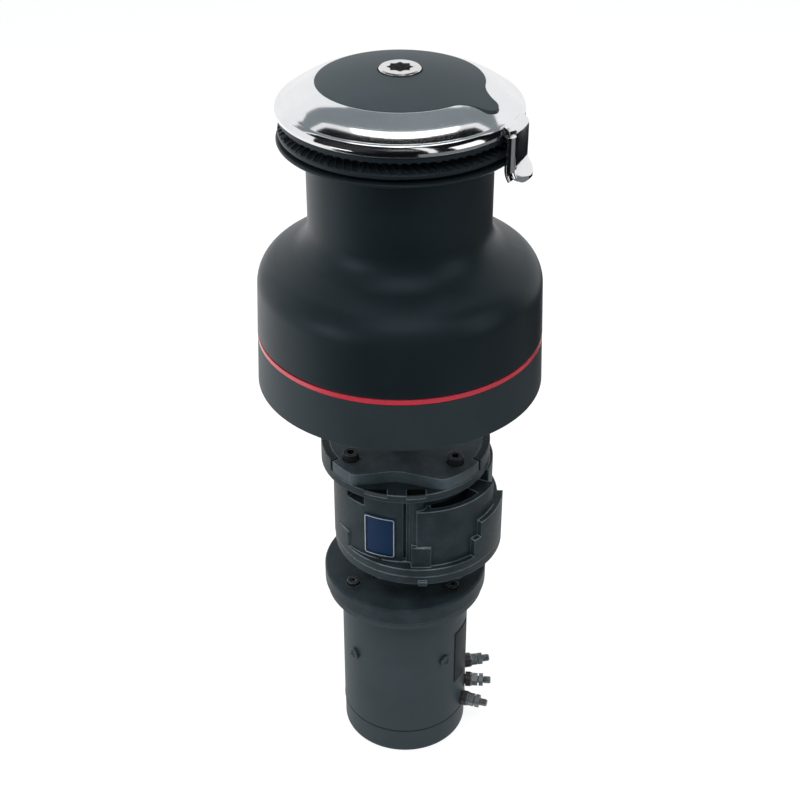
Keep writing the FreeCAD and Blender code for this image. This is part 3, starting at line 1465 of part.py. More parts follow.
def gearbox_housing():
    """The cast housing: flange and rim, round body, side lobe with its pocket, ribs and pads."""
    unit = s.unit_offset
    lobe = s.lobe_offset
    split_top = s.gearbox_split + s.split_flange_thickness
    solids = [
        cylinder("top_flange", s.gearbox_flange_radius, s.gearbox_flange_thickness,
                 unit, 0, GEARBOX_FLANGE_BOTTOM),
        sector("top_rim", s.gearbox_flange_radius, s.gearbox_flange_radius - s.rim_wall,
               ADAPTER_BOTTOM, s.adapter_top, unit, -30, 210),
        cylinder("round_body", s.gearbox_radius, GEARBOX_FLANGE_BOTTOM - s.gearbox_split,
                 unit, 0, s.gearbox_split),
        cylinder("side_lobe", s.lobe_radius, s.lobe_top - s.gearbox_split, lobe, 0, s.gearbox_split,
                 -92, 70),
        cylinder("low_lobe", s.lobe_radius, s.lobe_shoulder - s.gearbox_split, lobe, 0, s.gearbox_split,
                 -23, 201),
        cylinder("upper_case", s.upper_case_radius, GEARBOX_FLANGE_BOTTOM - s.gearbox_split,
                 lobe, 0, s.gearbox_split, -23, 201),
        cylinder("split_flange", s.split_flange_radius, s.split_flange_thickness,
                 lobe, 0, s.gearbox_split),
        sector("right_pad", s.split_flange_radius, s.lobe_radius - 2, split_top - 1, s.gearbox_split + 50,
               lobe, -44, -4),
        sector("right_pad_low", s.split_flange_radius, s.lobe_radius - 2, split_top - 1,
               s.gearbox_split + 31, lobe, -50, -40),
        sector("left_pad", s.split_flange_radius, s.lobe_radius - 2, split_top - 1,
               s.gearbox_split + 28, lobe, 176, 214),
        sector("back_pad", s.split_flange_radius, s.lobe_radius - 2, split_top - 1,
               s.gearbox_split + 40, lobe, 62, 100),
    ]
    foot = block("front_foot", 20, 12, 26, unit + 6, -(s.gearbox_radius + 9), s.gearbox_split + 8)
    rib = cylinder("front_rib", 9, GEARBOX_FLANGE_BOTTOM - s.gearbox_split, unit + 12,
                   4 - s.gearbox_radius, s.gearbox_split)
    whole = fuse("housing_casting", solids + [foot, rib])
    cutters = [
        block("left_slot", 23, SLOT_DEPTH, 5, unit - 42, -s.gearbox_flange_radius - 1, ADAPTER_BOTTOM - 4),
        block("right_slot", 19, SLOT_DEPTH, 5, unit + 1, -s.gearbox_flange_radius - 1, ADAPTER_BOTTOM - 4),
        sector("left_window", s.gearbox_radius + 3, s.gearbox_radius - 12, GEARBOX_FLANGE_BOTTOM - 21,
               GEARBOX_FLANGE_BOTTOM - 5, unit, -142, -124),
        sector("side_pocket", s.gearbox_radius + 1, s.gearbox_radius - 20, s.lobe_top - 42,
               s.lobe_top + 1, lobe + 1, -82, -40),
        block("front_groove", 3, 8, GEARBOX_FLANGE_BOTTOM - s.gearbox_split - 10,
              unit - 2.5, -(s.gearbox_radius + 3), s.gearbox_split + 10),
        cylinder("wheel_chamber", 42, CHAMBER_TOP - BEARING_WEB_TOP, 0, 0, BEARING_WEB_TOP),
        cylinder("idler_chamber", 20, CHAMBER_TOP - BEARING_WEB_BOTTOM + 1, IDLER_X, IDLER_Y,
                 BEARING_WEB_BOTTOM - 1),
        cylinder("fine_chamber", 39, BEARING_WEB_BOTTOM - s.gearbox_split, IDLER_X, IDLER_Y,
                 s.gearbox_split),
        cylinder("motor_chamber", 16, BEARING_WEB_BOTTOM - s.gearbox_split, unit, 0, s.gearbox_split),
        cylinder("output_bore", s.output_shaft_radius + 2, s.adapter_top - CHAMBER_TOP + 2, 0, 0,
                 CHAMBER_TOP - 1),
        cylinder("output_bearing_seat", OUTPUT_BEARING_RADIUS + s.seat_gap, OUTPUT_BEARING_WIDTH, 0, 0,
                 CHAMBER_TOP),
        cylinder("stub_bearing_seat", STUB_BEARING_RADIUS + s.seat_gap,
                 BEARING_WEB_TOP - BEARING_WEB_BOTTOM + 2, 0, 0, BEARING_WEB_BOTTOM - 1),
        cylinder("idler_bearing_seat", IDLER_BEARING_RADIUS + s.seat_gap, IDLER_BEARING_WIDTH,
                 IDLER_X, IDLER_Y, CHAMBER_TOP),
    ]
    for index, (x, y) in enumerate(adapter_screw_spots()):
        cutters.append(cylinder(f"adapter_thread_{index}", 5.05, ADAPTER_SCREW_LENGTH + 2,
                                unit + x, y, s.adapter_top - 2 - ADAPTER_SCREW_LENGTH))
    for index in range(COVER_BOLT_COUNT):
        x, y = polar(COVER_BOLT_CIRCLE, 360 / COVER_BOLT_COUNT * index)
        cutters.append(cylinder(f"cover_thread_{index}", 3.05, COVER_BOLT_LENGTH,
                                lobe + x, y, s.gearbox_split - 1))
    return cut("gearbox_housing", whole, fuse("housing_cutters", cutters))


def gearbox_cover():
    """The lower casting: flange, round boss and the spigot for the motor."""
    unit = s.unit_offset
    lobe = s.lobe_offset
    spigot = COVER_BOSS_BOTTOM - s.motor_flange_top + SPIGOT_DEPTH
    whole = fuse("cover_casting", [
        cylinder("cover_flange", s.split_flange_radius, s.cover_thickness - s.slip_gap,
                 lobe, 0, COVER_BOTTOM),
        cylinder("cover_boss", s.cover_boss_radius, s.cover_boss_height + 1, unit, 0, COVER_BOSS_BOTTOM),
        cylinder("cover_spigot", s.spigot_radius, spigot + 1, unit, 0, COVER_BOSS_BOTTOM - spigot),
        block("cover_tab", 9, 8, 5, lobe - 1, -s.split_flange_radius - 3, COVER_BOTTOM),
    ])
    cutters = [
        cylinder("spigot_hollow", s.spigot_bore, spigot + 1, unit, 0, COVER_BOSS_BOTTOM - spigot - 1),
        cylinder("seal_seat", SEAL_RADIUS + s.seat_gap, s.cover_boss_height + 1,
                 unit, 0, COVER_BOSS_BOTTOM - 1),
        cylinder("shaft_way", s.motor_shaft_radius + 3, s.cover_thickness + 4, unit, 0, COVER_BOTTOM - 2),
        cylinder("cover_idler_seat", IDLER_BEARING_RADIUS + s.seat_gap, IDLER_BEARING_WIDTH + 1,
                 IDLER_X, IDLER_Y, s.gearbox_split - IDLER_BEARING_WIDTH),
    ]
    for index in range(COVER_BOLT_COUNT):
        x, y = polar(COVER_BOLT_CIRCLE, 360 / COVER_BOLT_COUNT * index)
        cutters.append(cylinder(f"cover_hole_{index}", 3.3, s.cover_thickness + 2,
                                lobe + x, y, COVER_BOTTOM - 1))
    return cut("gearbox_cover", whole, fuse("cover_cutters", cutters))


def gearbox_bolts():
    """The screws that hold the cover, heads down."""
    body = new_body("gearbox_bolts", x=s.lobe_offset, z=COVER_BOTTOM)
    head = pad(body, [circle(COVER_BOLT_CIRCLE, 0, 5)], -6, 6)
    shank = pad(body, [circle(COVER_BOLT_CIRCLE, 0, 3)], 0, s.cover_thickness + COVER_BOLT_LENGTH - 3)
    pattern = repeat(body, head, COVER_BOLT_COUNT)
    pattern.Originals = [head, shank]
    return body


def curved_plate(label, radius, x, start, end, bottom, top, thickness):
    """A thin plate that follows a round wall."""
    plate = sector(label, radius + thickness, radius, bottom, top, x, start, end)
    return plate


def output_shaft():
    """The output shaft, with the cup that takes the end of the main spindle."""
    body = new_body("output_shaft")
    cup = s.bush_radius - 1
    revolve(body, [
        (0, BEARING_WEB_BOTTOM + 0.5),
        (s.output_stub_radius, BEARING_WEB_BOTTOM + 0.5),
        (s.output_stub_radius, BEARING_WEB_TOP + 1),
        (s.output_shaft_radius, BEARING_WEB_TOP + 1),
        (s.output_shaft_radius, SPINDLE_BOTTOM - 6),
        (cup, SPINDLE_BOTTOM - 4),
        (cup, SPINDLE_BOTTOM + 22),
        (s.spindle_radius + s.seat_gap, SPINDLE_BOTTOM + 22),
        (s.spindle_radius + s.seat_gap, SPINDLE_BOTTOM),
        (0, SPINDLE_BOTTOM),
    ])
    return body


def output_gear():
    body = new_body("output_gear", z=COARSE_WHEEL_BOTTOM, turn=IDLER_ANGLE)
    spur_gear(body, s.coarse_module, s.coarse_wheel_teeth, s.output_shaft_radius + s.seat_gap,
              0, COARSE_WHEEL_WIDTH, plain_tooth_outline)
    return body


def intermediate_shaft():
    """The layshaft of the gearbox: journals, the coarse pinion and the fine wheel in one."""
    body = new_body("intermediate_shaft", IDLER_X, IDLER_Y, 0, IDLER_ANGLE)
    radius = s.intermediate_radius
    bottom = s.gearbox_split - IDLER_BEARING_WIDTH + 0.5
    pad(body, [circle(0, 0, radius)], bottom, CHAMBER_TOP + IDLER_BEARING_WIDTH - 0.5 - bottom)
    blank = root_radius(s.coarse_module, s.coarse_pinion_teeth)
    pad(body, [circle(0, 0, blank)], COARSE_WHEEL_BOTTOM, COARSE_WHEEL_WIDTH)
    space = 180 + 180 / s.coarse_pinion_teeth
    outline = plain_tooth_outline(s.coarse_module, s.coarse_pinion_teeth, s.backlash)
    tooth = pad(body, [turned_outline(outline, space)], COARSE_WHEEL_BOTTOM, COARSE_WHEEL_WIDTH)
    repeat(body, tooth, s.coarse_pinion_teeth)
    blank = root_radius(s.fine_module, s.fine_wheel_teeth)
    pad(body, [circle(0, 0, blank)], FINE_WHEEL_BOTTOM, FINE_WHEEL_WIDTH)
    towards_motor = MOTOR_FROM_IDLER - IDLER_ANGLE
    outline = plain_tooth_outline(s.fine_module, s.fine_wheel_teeth, s.backlash)
    tooth = pad(body, [turned_outline(outline, towards_motor)], FINE_WHEEL_BOTTOM, FINE_WHEEL_WIDTH)
    repeat(body, tooth, s.fine_wheel_teeth)
    return body


def turned_outline(points, angle):
    """The same outline, turned about the origin."""
    return [(x * cosine(angle) - y * sine(angle), x * sine(angle) + y * cosine(angle)) for x, y in points]


def motor_pinion():
    turn = MOTOR_FROM_IDLER + 180 + 180 / s.motor_pinion_teeth
    body = new_body("motor_pinion", s.unit_offset, 0, FINE_WHEEL_BOTTOM, turn)
    spur_gear(body, s.fine_module, s.motor_pinion_teeth, MOTOR_NOSE_RADIUS + s.seat_gap,
              0, FINE_WHEEL_WIDTH, plain_tooth_outline)
    return body


def output_bearings():
    upper = ring("upper_output_bearing", OUTPUT_BEARING_RADIUS, s.output_shaft_radius + s.bearing_gap,
                 OUTPUT_BEARING_WIDTH, z=CHAMBER_TOP)
    lower = ring("lower_output_bearing", STUB_BEARING_RADIUS, s.output_stub_radius + s.bearing_gap,
                 BEARING_WEB_TOP - BEARING_WEB_BOTTOM, z=BEARING_WEB_BOTTOM)
    return group("output_bearings", [upper, lower])


def intermediate_bearings():
    heights = (CHAMBER_TOP, s.gearbox_split - IDLER_BEARING_WIDTH)
    rings = [ring(f"idler_bearing_{index}", IDLER_BEARING_RADIUS, s.intermediate_radius + s.bearing_gap,
                  IDLER_BEARING_WIDTH, IDLER_X, IDLER_Y, height) for index, height in enumerate(heights)]
    return group("intermediate_bearings", rings)


def shaft_seal():
    seal = ring("shaft_seal", SEAL_RADIUS, s.motor_shaft_radius + s.running_gap,
                s.cover_boss_height - 4, s.unit_offset, 0, COVER_BOSS_BOTTOM)
    return seal


# Motor

def motor_flange():
    """The drive-end flange: spigot seat on top, bearing seat below."""
    body = new_body("motor_flange", x=s.unit_offset, z=MOTOR_FLANGE_BOTTOM)
    height = s.motor_flange_thickness
    edge = s.motor_flange_radius
    revolve(body, [
        (s.motor_bearing_radius + s.seat_gap, 0),
        (edge, 0),
        (edge, height - 2.5),
        arc(edge - 2.5, height, 2.5),
        (s.spigot_radius + s.slip_gap, height),
        (s.spigot_radius + s.slip_gap, height - SPIGOT_DEPTH),
        (s.motor_bearing_radius + s.seat_gap, height - SPIGOT_DEPTH),
    ])
    pocket(body, [circle(*spot, 4.3) for spot in motor_screw_spots()], height, height)
    pocket(body, [circle(*spot, 7.2) for spot in motor_screw_spots()], height, MOTOR_SCREW_SINK)
    return body


def motor_screw_spots():
    """The four screws of the motor flange, measured from the middle of the motor."""
    return [polar(s.motor_screw_circle, angle) for angle in unit_screw_angles()]


def motor_flange_screws():
    """Four M8 socket-head screws down into the rim of the motor."""
    body = new_body("motor_flange_screws", x=s.unit_offset, z=s.motor_flange_top - MOTOR_SCREW_SINK)
    spots = motor_screw_spots()
    length = s.motor_flange_thickness - MOTOR_SCREW_SINK + s.motor_rim_thickness
    pad(body, [circle(*spot, 4) for spot in spots], -1 * length, length)
    pad(body, [circle(*spot, 6.5) for spot in spots], 0, 8)
    pocket(body, [hexagon(*spot, 3.4) for spot in spots], 8, 4.5)
    return body


def motor_body():
    """The steel tube of the motor with its rim, screw holes and terminal holes."""
    unit = s.unit_offset
    bore = s.motor_radius - s.motor_wall
    length = MOTOR_RIM_BOTTOM - s.motor_seam
    whole = fuse("motor_tube", [
        cylinder("motor_barrel", s.motor_radius, length, unit, 0, s.motor_seam),
        cylinder("motor_rim", s.motor_rim_radius, s.motor_rim_thickness, unit, 0, MOTOR_RIM_BOTTOM),
    ])
    cutters = [cylinder("motor_bore", bore, length + s.motor_rim_thickness + 2, unit, 0, s.motor_seam - 1)]
    for index, (x, y) in enumerate(motor_screw_spots()):
        cutters.append(cylinder(f"rim_thread_{index}", 4.05, s.motor_rim_thickness + 2, unit + x, y,
                                MOTOR_RIM_BOTTOM - 1))
    for index in range(4):
        pole = cylinder(f"pole_hole_{index}", 4.2, s.motor_wall + 4)
        aim_outwards(pole, unit, POLE_ANGLE + 90 * index, bore - 2, s.pole_height)
        cutters.append(pole)
    for index, (angle, height) in enumerate(TERMINALS):
        hole = cylinder(f"terminal_hole_{index}", INSULATOR_NECK + 0.1, s.motor_wall + 4)
        aim_outwards(hole, unit, angle, bore - 2, height)
        cutters.append(hole)
    return cut("motor_body", whole, fuse("motor_cutters", cutters))


def field_poles():
    """Four curved pole shoes inside the barrel."""
    outer = s.motor_radius - s.motor_wall - s.slip_gap
    inner = s.armature_radius + s.air_gap
    bottom = s.pole_height - s.pole_length / 2
    body = new_body("field_poles", x=s.unit_offset, z=bottom, turn=POLE_ANGLE)
    shoe = pad(body, [[
        arc(*polar(inner, -30), -inner),
        polar(outer, -30),
        arc(*polar(outer, 30), outer),
        polar(inner, 30),
    ]], 0, s.pole_length)
    repeat(body, shoe, 4)
    return body


def pole_screws():
    """Four cross-head screws through the barrel, one for each pole shoe."""
    screws = []
    for index in range(4):
        angle = POLE_ANGLE + 90 * index
        shank = cylinder(f"pole_shank_{index}", 4, s.motor_wall)
        aim_outwards(shank, s.unit_offset, angle, s.motor_radius - s.motor_wall, s.pole_height)
        head = cylinder(f"pole_head_{index}", 6.5, 2.6)
        aim_outwards(head, s.unit_offset, angle, s.motor_radius + 0.2, s.pole_height)
        neck = cylinder(f"pole_neck_{index}", 4, 1)
        aim_outwards(neck, s.unit_offset, angle, s.motor_radius - 0.5, s.pole_height)
        screws.append(fuse(f"pole_screw_{index}", [shank, neck, head]))
    return group("pole_screws", screws)


def armature():
    """Laminations, end windings and commutator on the motor shaft."""
    body = new_body("armature", x=s.unit_offset)
    bore = s.motor_shaft_radius + s.seat_gap
    top = s.pole_height + s.pole_length / 2
    bottom = s.pole_height - s.pole_length / 2
    revolve(body, [
        (bore, COMMUTATOR_BOTTOM),
        (s.commutator_radius, COMMUTATOR_BOTTOM),
        (s.commutator_radius, COMMUTATOR_BOTTOM + 22),
        (s.commutator_radius + 4, COMMUTATOR_BOTTOM + 22),
        (s.commutator_radius + 4, bottom - 14),
        (s.armature_radius - 8, bottom - 12),
        (s.armature_radius - 8, bottom),
        (s.armature_radius, bottom),
        (s.armature_radius, top),
        (s.armature_radius - 8, top),
        (s.armature_radius - 12, top + 12),
        (bore, top + 12),
    ])
    return body


def motor_shaft():
    body = new_body("motor_shaft", x=s.unit_offset)
    revolve(body, [
        (0, s.motor_bottom + 7),
        (s.motor_shaft_radius, s.motor_bottom + 7),
        (s.motor_shaft_radius, s.gearbox_split),
        (MOTOR_NOSE_RADIUS, s.gearbox_split + 1),
        (MOTOR_NOSE_RADIUS, FINE_WHEEL_BOTTOM + FINE_WHEEL_WIDTH + 1),
        (0, FINE_WHEEL_BOTTOM + FINE_WHEEL_WIDTH + 1),
    ])
    return body


def motor_bearings():
    width = s.motor_flange_thickness - SPIGOT_DEPTH
    heights = (MOTOR_FLANGE_BOTTOM, s.motor_bottom + 6)
    rings = [ring(f"motor_bearing_{index}", s.motor_bearing_radius, s.motor_shaft_radius + s.bearing_gap,
                  width, s.unit_offset, 0, height) for index, height in enumerate(heights)]
    return group("motor_bearings", rings)


def brush_gear():
    """The insulating ring on the end cap's ledge, with four brush boxes and brushes."""
    body = new_body("brush_gear", x=s.unit_offset, z=BRUSH_LEDGE)
    outer = s.motor_radius - s.motor_wall - 0.5
    inner = s.commutator_radius + 6
    reach = s.commutator_radius + s.running_gap
    pad(body, [circle(0, 0, outer), circle(0, 0, inner)], 0, 5)
    box = pad(body, [[(inner + 1, -6), (outer - 12, -6), (outer - 12, 6), (inner + 1, 6)]], 5, 11)
    brush = pad(body, [[(reach, -4), (inner + 4, -4), (inner + 4, 4), (reach, 4)]], 6.5, 8)
    pattern = repeat(body, box, 4)
    pattern.Originals = [box, brush]
    return body


def motor_end_cap():
    """The cup at the lower end, with the ledge for the brush gear and the bearing seat."""
    body = new_body("motor_end_cap", x=s.unit_offset, z=s.motor_bottom)
    top = s.motor_seam - s.seam_gap - s.motor_bottom
    ledge = BRUSH_LEDGE - s.motor_bottom
    outer = s.end_cap_radius
    seat = s.motor_bearing_radius + s.seat_gap
    bore = s.motor_radius - s.motor_wall
    revolve(body, [
        (0, 0),
        (outer - 4, 0),
        arc(outer, 4, 4),
        (outer, top),
        (bore, top),
        (bore, ledge),
        (bore - 7, ledge),
        (bore - 7, 6),
        (seat + 5, 6),
        (seat + 5, 18),
        (seat, 18),
        (seat, 6),
        (0, 6),
    ])
    return body


def motor_spigot_ring():
    """The narrow ring that centres the end cap in the barrel and shows as the dark seam."""
    bore = s.motor_radius - s.motor_wall
    return ring("seam_ring", bore + 3.5, bore, s.seam_gap, s.unit_offset, 0,
                s.motor_seam - s.seam_gap)


def terminal_studs():
    """Studs with a waist behind the free end and a chamfered tip."""
    studs = []
    start = s.motor_radius - STUD_ROOT
    tip = s.motor_radius + s.stud_reach
    for index, (angle, height) in enumerate(TERMINALS):
        root_length = tip - s.stud_end - STUD_WAIST - start
        rooted = cylinder(f"stud_root_{index}", s.stud_radius, root_length)
        aim_outwards(rooted, s.unit_offset, angle, start, height)
        waist = cylinder(f"stud_waist_{index}", s.stud_radius - 0.4, STUD_WAIST + 2)
        aim_outwards(waist, s.unit_offset, angle, tip - s.stud_end - STUD_WAIST - 1, height)
        free = cylinder(f"stud_free_{index}", s.stud_radius, s.stud_end - STUD_CHAMFER)
        aim_outwards(free, s.unit_offset, angle, tip - s.stud_end, height)
        point = doc.addObject("Part::Cone", f"stud_point_{index}")
        bind(point, "Radius1", s.stud_radius)
        bind(point, "Radius2", s.stud_radius - STUD_CHAMFER)
        bind(point, "Height", STUD_CHAMFER)
        aim_outwards(point, s.unit_offset, angle, tip - STUD_CHAMFER, height)
        studs.append(fuse(f"stud_{index}", [rooted, waist, free, point]))
    return group("terminal_studs", studs)


def terminal_insulators():
    """A shouldered insulating bush round each stud."""
    bushes = []
    for index, (angle, height) in enumerate(TERMINALS):
        neck = cylinder(f"bush_neck_{index}", INSULATOR_NECK, s.motor_wall + 2)
        aim_outwards(neck, s.unit_offset, angle, s.motor_radius - s.motor_wall - 1, height)
        collar = cylinder(f"bush_collar_{index}", s.insulator_radius, 6)
        aim_outwards(collar, s.unit_offset, angle, s.motor_radius + 0.6, height)
        way = cylinder(f"bush_way_{index}", s.stud_radius + s.seat_gap, s.motor_wall + 14)
        aim_outwards(way, s.unit_offset, angle, s.motor_radius - s.motor_wall - 3, height)
        bushes.append(cut(f"bush_{index}", fuse(f"bush_whole_{index}", [neck, collar]), way))
    return group("terminal_insulators", bushes)


def terminal_nuts():
    """A washer and two hexagon nuts on each stud."""
    pieces = []
    for index, (angle, height) in enumerate(TERMINALS):
        start = s.motor_radius + 6.7
        for name, offset, thickness in (("washer", 0, 1.6), ("nut", 1.7, 6.5), ("lock", 9.5, 5)):
            if name == "washer":
                blank = cylinder(f"washer_{index}", 8, thickness)
            else:
                blank = doc.addObject("Part::Prism", f"{name}_{index}")
                blank.Polygon = 6
                bind(blank, "Circumradius", 7.5)
                bind(blank, "Height", thickness)
            aim_outwards(blank, s.unit_offset, angle, start + offset, height)
            way = cylinder(f"{name}_way_{index}", s.stud_radius + s.seat_gap, thickness + 2)
            aim_outwards(way, s.unit_offset, angle, start + offset - 1, height)
            pieces.append(cut(f"{name}_piece_{index}", blank, way))
    return group("terminal_nuts", pieces)


# The whole winch

SUB_PARTS = [
    base_plate(),
    base_skirt(),
    red_trim_ring(),
    centre_stem(),
    stem_screws(),
    drum(),
    drum_ring_gear(),
    ring_gear_screws(),
    bearing_cage("lower_bearing_cage", s.lower_bearing_height),
    bearing_rollers("lower_bearing_rollers", s.lower_bearing_height),
    bearing_cage("upper_bearing_cage", s.upper_bearing_height),
    bearing_rollers("upper_bearing_rollers", s.upper_bearing_height),
    lower_jaw(),
    upper_jaw(),
    wave_spring(),
    jaw_screws(),
    stripper_carrier(),
    carrier_screws(),
    stripper_ring(),
    peeler(),
    top_cap(),
    handle_socket(),
    main_spindle(),
    spindle_pinion(),
    spindle_bushes(),
    layshaft_pin(),
    layshaft_gear(),
    layshaft_pinion(),
    layshaft_pawl("layshaft_pawl_a", 0),
    layshaft_pawl("layshaft_pawl_b", 180),
    deck_tube(),
    deck_tube_screws(),
    adapter_plate(),
    adapter_screws(),
    gearbox_housing(),
    gearbox_cover(),
    gearbox_bolts(),
    curved_plate("gearbox_nameplate", s.gearbox_radius + 0.1, s.unit_offset, -123, -98, -182, -132, 0.8),
    output_shaft(),
    output_gear(),
    intermediate_shaft(),
    output_bearings(),
    intermediate_bearings(),
    motor_pinion(),
    shaft_seal(),
    motor_flange(),
    motor_flange_screws(),
    motor_body(),
    field_poles(),
    pole_screws(),
    curved_plate("motor_nameplate", s.motor_radius + 0.1, s.unit_offset, -38, -13, -390, -318, 0.6),
    armature(),
    motor_shaft(),
    motor_bearings(),
    brush_gear(),
    motor_end_cap(),
    motor_spigot_ring(),
    terminal_studs(),
    terminal_insulators(),
    terminal_nuts(),
]


def check_and_save():
    """Recompute, refuse anything that failed, and write one file for each sub-part."""
    doc.recompute()
    for item in doc.Objects:
        if {"Invalid", "Error"} & set(item.State):
            raise RuntimeError(f"{item.Name} ({item.Label}) failed: {item.State}")
    for part in SUB_PARTS:
        if part.Shape.isNull() or not part.Shape.isValid():
            raise RuntimeError(f"{part.Label} has no valid shape")
    os.makedirs("parts", exist_ok=True)
    for part in SUB_PARTS:
        part.Shape.exportStep(f"parts/{part.Label}.step")
        print(part.Label, len(part.Shape.Solids), round(part.Shape.Volume))


check_and_save()
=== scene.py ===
# %% [markdown]
# # An electric self-tailing winch, dressed for its picture
#
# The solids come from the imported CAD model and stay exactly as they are. This notebook gives each
# of them a finish made of shader nodes, adds the small forms that are too fine for the solids, and
# sets up the camera, the floor and the light.

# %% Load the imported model
import json
import math

import bmesh
import bpy
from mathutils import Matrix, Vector
from mathutils.geometry import tessellate_polygon


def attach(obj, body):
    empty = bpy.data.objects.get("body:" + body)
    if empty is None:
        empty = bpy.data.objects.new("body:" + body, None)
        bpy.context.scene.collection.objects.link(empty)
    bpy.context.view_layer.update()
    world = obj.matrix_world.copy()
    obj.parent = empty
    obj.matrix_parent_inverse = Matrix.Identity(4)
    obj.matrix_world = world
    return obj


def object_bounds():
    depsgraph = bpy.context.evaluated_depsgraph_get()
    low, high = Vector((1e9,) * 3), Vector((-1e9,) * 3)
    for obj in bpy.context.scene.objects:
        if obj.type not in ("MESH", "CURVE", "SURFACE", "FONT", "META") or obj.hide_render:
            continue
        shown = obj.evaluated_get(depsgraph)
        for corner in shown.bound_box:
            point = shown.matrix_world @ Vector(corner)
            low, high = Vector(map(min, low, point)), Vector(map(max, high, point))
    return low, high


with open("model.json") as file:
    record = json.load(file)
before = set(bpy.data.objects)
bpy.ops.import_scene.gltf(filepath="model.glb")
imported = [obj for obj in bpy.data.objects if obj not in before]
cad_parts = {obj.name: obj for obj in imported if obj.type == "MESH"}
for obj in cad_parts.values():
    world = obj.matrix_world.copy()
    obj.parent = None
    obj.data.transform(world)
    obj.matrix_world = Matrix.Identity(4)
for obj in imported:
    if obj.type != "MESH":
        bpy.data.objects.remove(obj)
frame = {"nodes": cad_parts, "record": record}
cad_low, cad_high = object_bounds()
winch = frame["nodes"]
print("solids:", len(winch), "height in mm:", round((cad_high.z - cad_low.z) * 1000, 1))

# %% [markdown]
# The camera stands where the photographer stood: about 1.3 m in front and half a metre above the
# top of the winch, looking down at 33 degrees. A long lens keeps the upright sides nearly parallel,
# so the picture is matched by the place and the tilt of the camera, with no shift.

# %% Camera
scene = bpy.context.scene
lens = bpy.data.cameras.new("camera")
lens.lens = 67.5
lens.sensor_width = 36
camera = bpy.data.objects.new("camera", lens)
camera.location = (0, -1.2963, 0.8055)
camera.rotation_euler = (math.radians(57), 0, 0)
scene.collection.objects.link(camera)
scene.camera = camera
scene.view_settings.view_transform = "Standard"
print("camera", tuple(round(c, 3) for c in camera.location))

# %% [markdown]
# Every finish, the floor and the backdrop are made of shader nodes. Making a node, setting its values
# and linking it takes four or five lines each time, so one helper does it: a value that is itself a
# socket is linked, and any other value is set.

# %% A helper for shader nodes
def add_node(tree, kind, inputs=None, **settings):
    """A new shader node, with its properties and its input values set."""
    made = tree.nodes.new(kind)
    for name, value in settings.items():
        setattr(made, name, value)
    for name, value in (inputs or {}).items():
        if isinstance(value, bpy.types.NodeSocket):
            tree.links.new(value, made.inputs[name])
        else:
            made.inputs[name].default_value = value
    return made


def any_of(tree, *rays):
    """1 where the ray is of one of these kinds, and 0 elsewhere."""
    path = add_node(tree, "ShaderNodeLightPath")
    total = path.outputs[rays[0]]
    for ray in rays[1:]:
        total = add_node(tree, "ShaderNodeMath", {0: total, 1: path.outputs[ray]},
                         operation="MAXIMUM").outputs[0]
    return total


def empty_tree(owner):
    """The node tree of a material or a world, with nothing in it."""
    owner.use_nodes = True
    owner.node_tree.nodes.clear()
    return owner.node_tree


SEEN_DIRECTLY = ("Is Camera Ray", "Is Glossy Ray", "Is Transmission Ray")
print("kinds of ray that see the backdrop white:", len(SEEN_DIRECTLY))

# %% [markdown]
# A floor under the motor catches a faint shadow. To the camera and to polished metal it is nearly
# white, because part of it glows for those rays alone, and the light on the object stays as it is.

# %% Floor
FLOOR_HEIGHT = cad_low.z - 0.0006
bpy.ops.mesh.primitive_plane_add(size=24, location=(0, 4, FLOOR_HEIGHT))
floor = bpy.context.object
floor.name = "floor"
pale = bpy.data.materials.new("pale_floor")
tree = empty_tree(pale)
paint = add_node(tree, "ShaderNodeBsdfDiffuse", {"Color": (0.9, 0.9, 0.9, 1)})
glow = add_node(tree, "ShaderNodeEmission", {"Color": (1, 1, 1, 1), "Strength": 0.86})
faint = add_node(tree, "ShaderNodeBsdfDiffuse", {"Color": (0.2, 0.2, 0.2, 1)})
part_glow = add_node(tree, "ShaderNodeAddShader", {0: glow.outputs[0], 1: faint.outputs[0]})
choice = add_node(tree, "ShaderNodeMixShader",
                  {0: any_of(tree, *SEEN_DIRECTLY), 1: paint.outputs[0], 2: part_glow.outputs[0]})
add_node(tree, "ShaderNodeOutputMaterial", {"Surface": choice.outputs[0]})
floor.data.materials.append(pale)
print("floor at", round(FLOOR_HEIGHT, 4))

# %% [markdown]
# The backdrop is the world itself. The camera and polished metal see it white, while the light that
# it throws is kept at a moderate level so that black finishes stay black.

# %% World
world = bpy.data.worlds.new("studio")
scene.world = world
tree = empty_tree(world)
room = add_node(tree, "ShaderNodeBackground", {"Color": (0.93, 0.97, 1, 1), "Strength": 0.42})
white = add_node(tree, "ShaderNodeBackground", {"Color": (1, 1, 1, 1), "Strength": 1})
mixed = add_node(tree, "ShaderNodeMixShader",
                 {0: any_of(tree, *SEEN_DIRECTLY), 1: room.outputs[0], 2: white.outputs[0]})
add_node(tree, "ShaderNodeOutputWorld", {"Surface": mixed.outputs[0]})
print("light from the backdrop:", room.inputs["Strength"].default_value)

# %% [markdown]
# In the photograph the backdrop is bright and the room behind the camera is dark: faces that look
# back to the camera are nearly black, and the sides catch the backdrop. Photographers hang dark and
# grey panels, called flags, for this, and the same is done here. A black cover swallows light. The
# grey and white ones glow by themselves, so that no lamp can change how bright they look.

# %% Covers for the flags
def flag_cover(name, colour, glow):
    """A plain cover for a flag: matt, or glowing where glow is above zero."""
    cover = bpy.data.materials.new(name)
    tree = empty_tree(cover)
    if glow > 0:
        face = add_node(tree, "ShaderNodeEmission", {"Color": (*colour, 1), "Strength": glow})
    else:
        face = add_node(tree, "ShaderNodeBsdfDiffuse", {"Color": (*colour, 1)})
    add_node(tree, "ShaderNodeOutputMaterial", {"Surface": face.outputs[0]})
    return cover


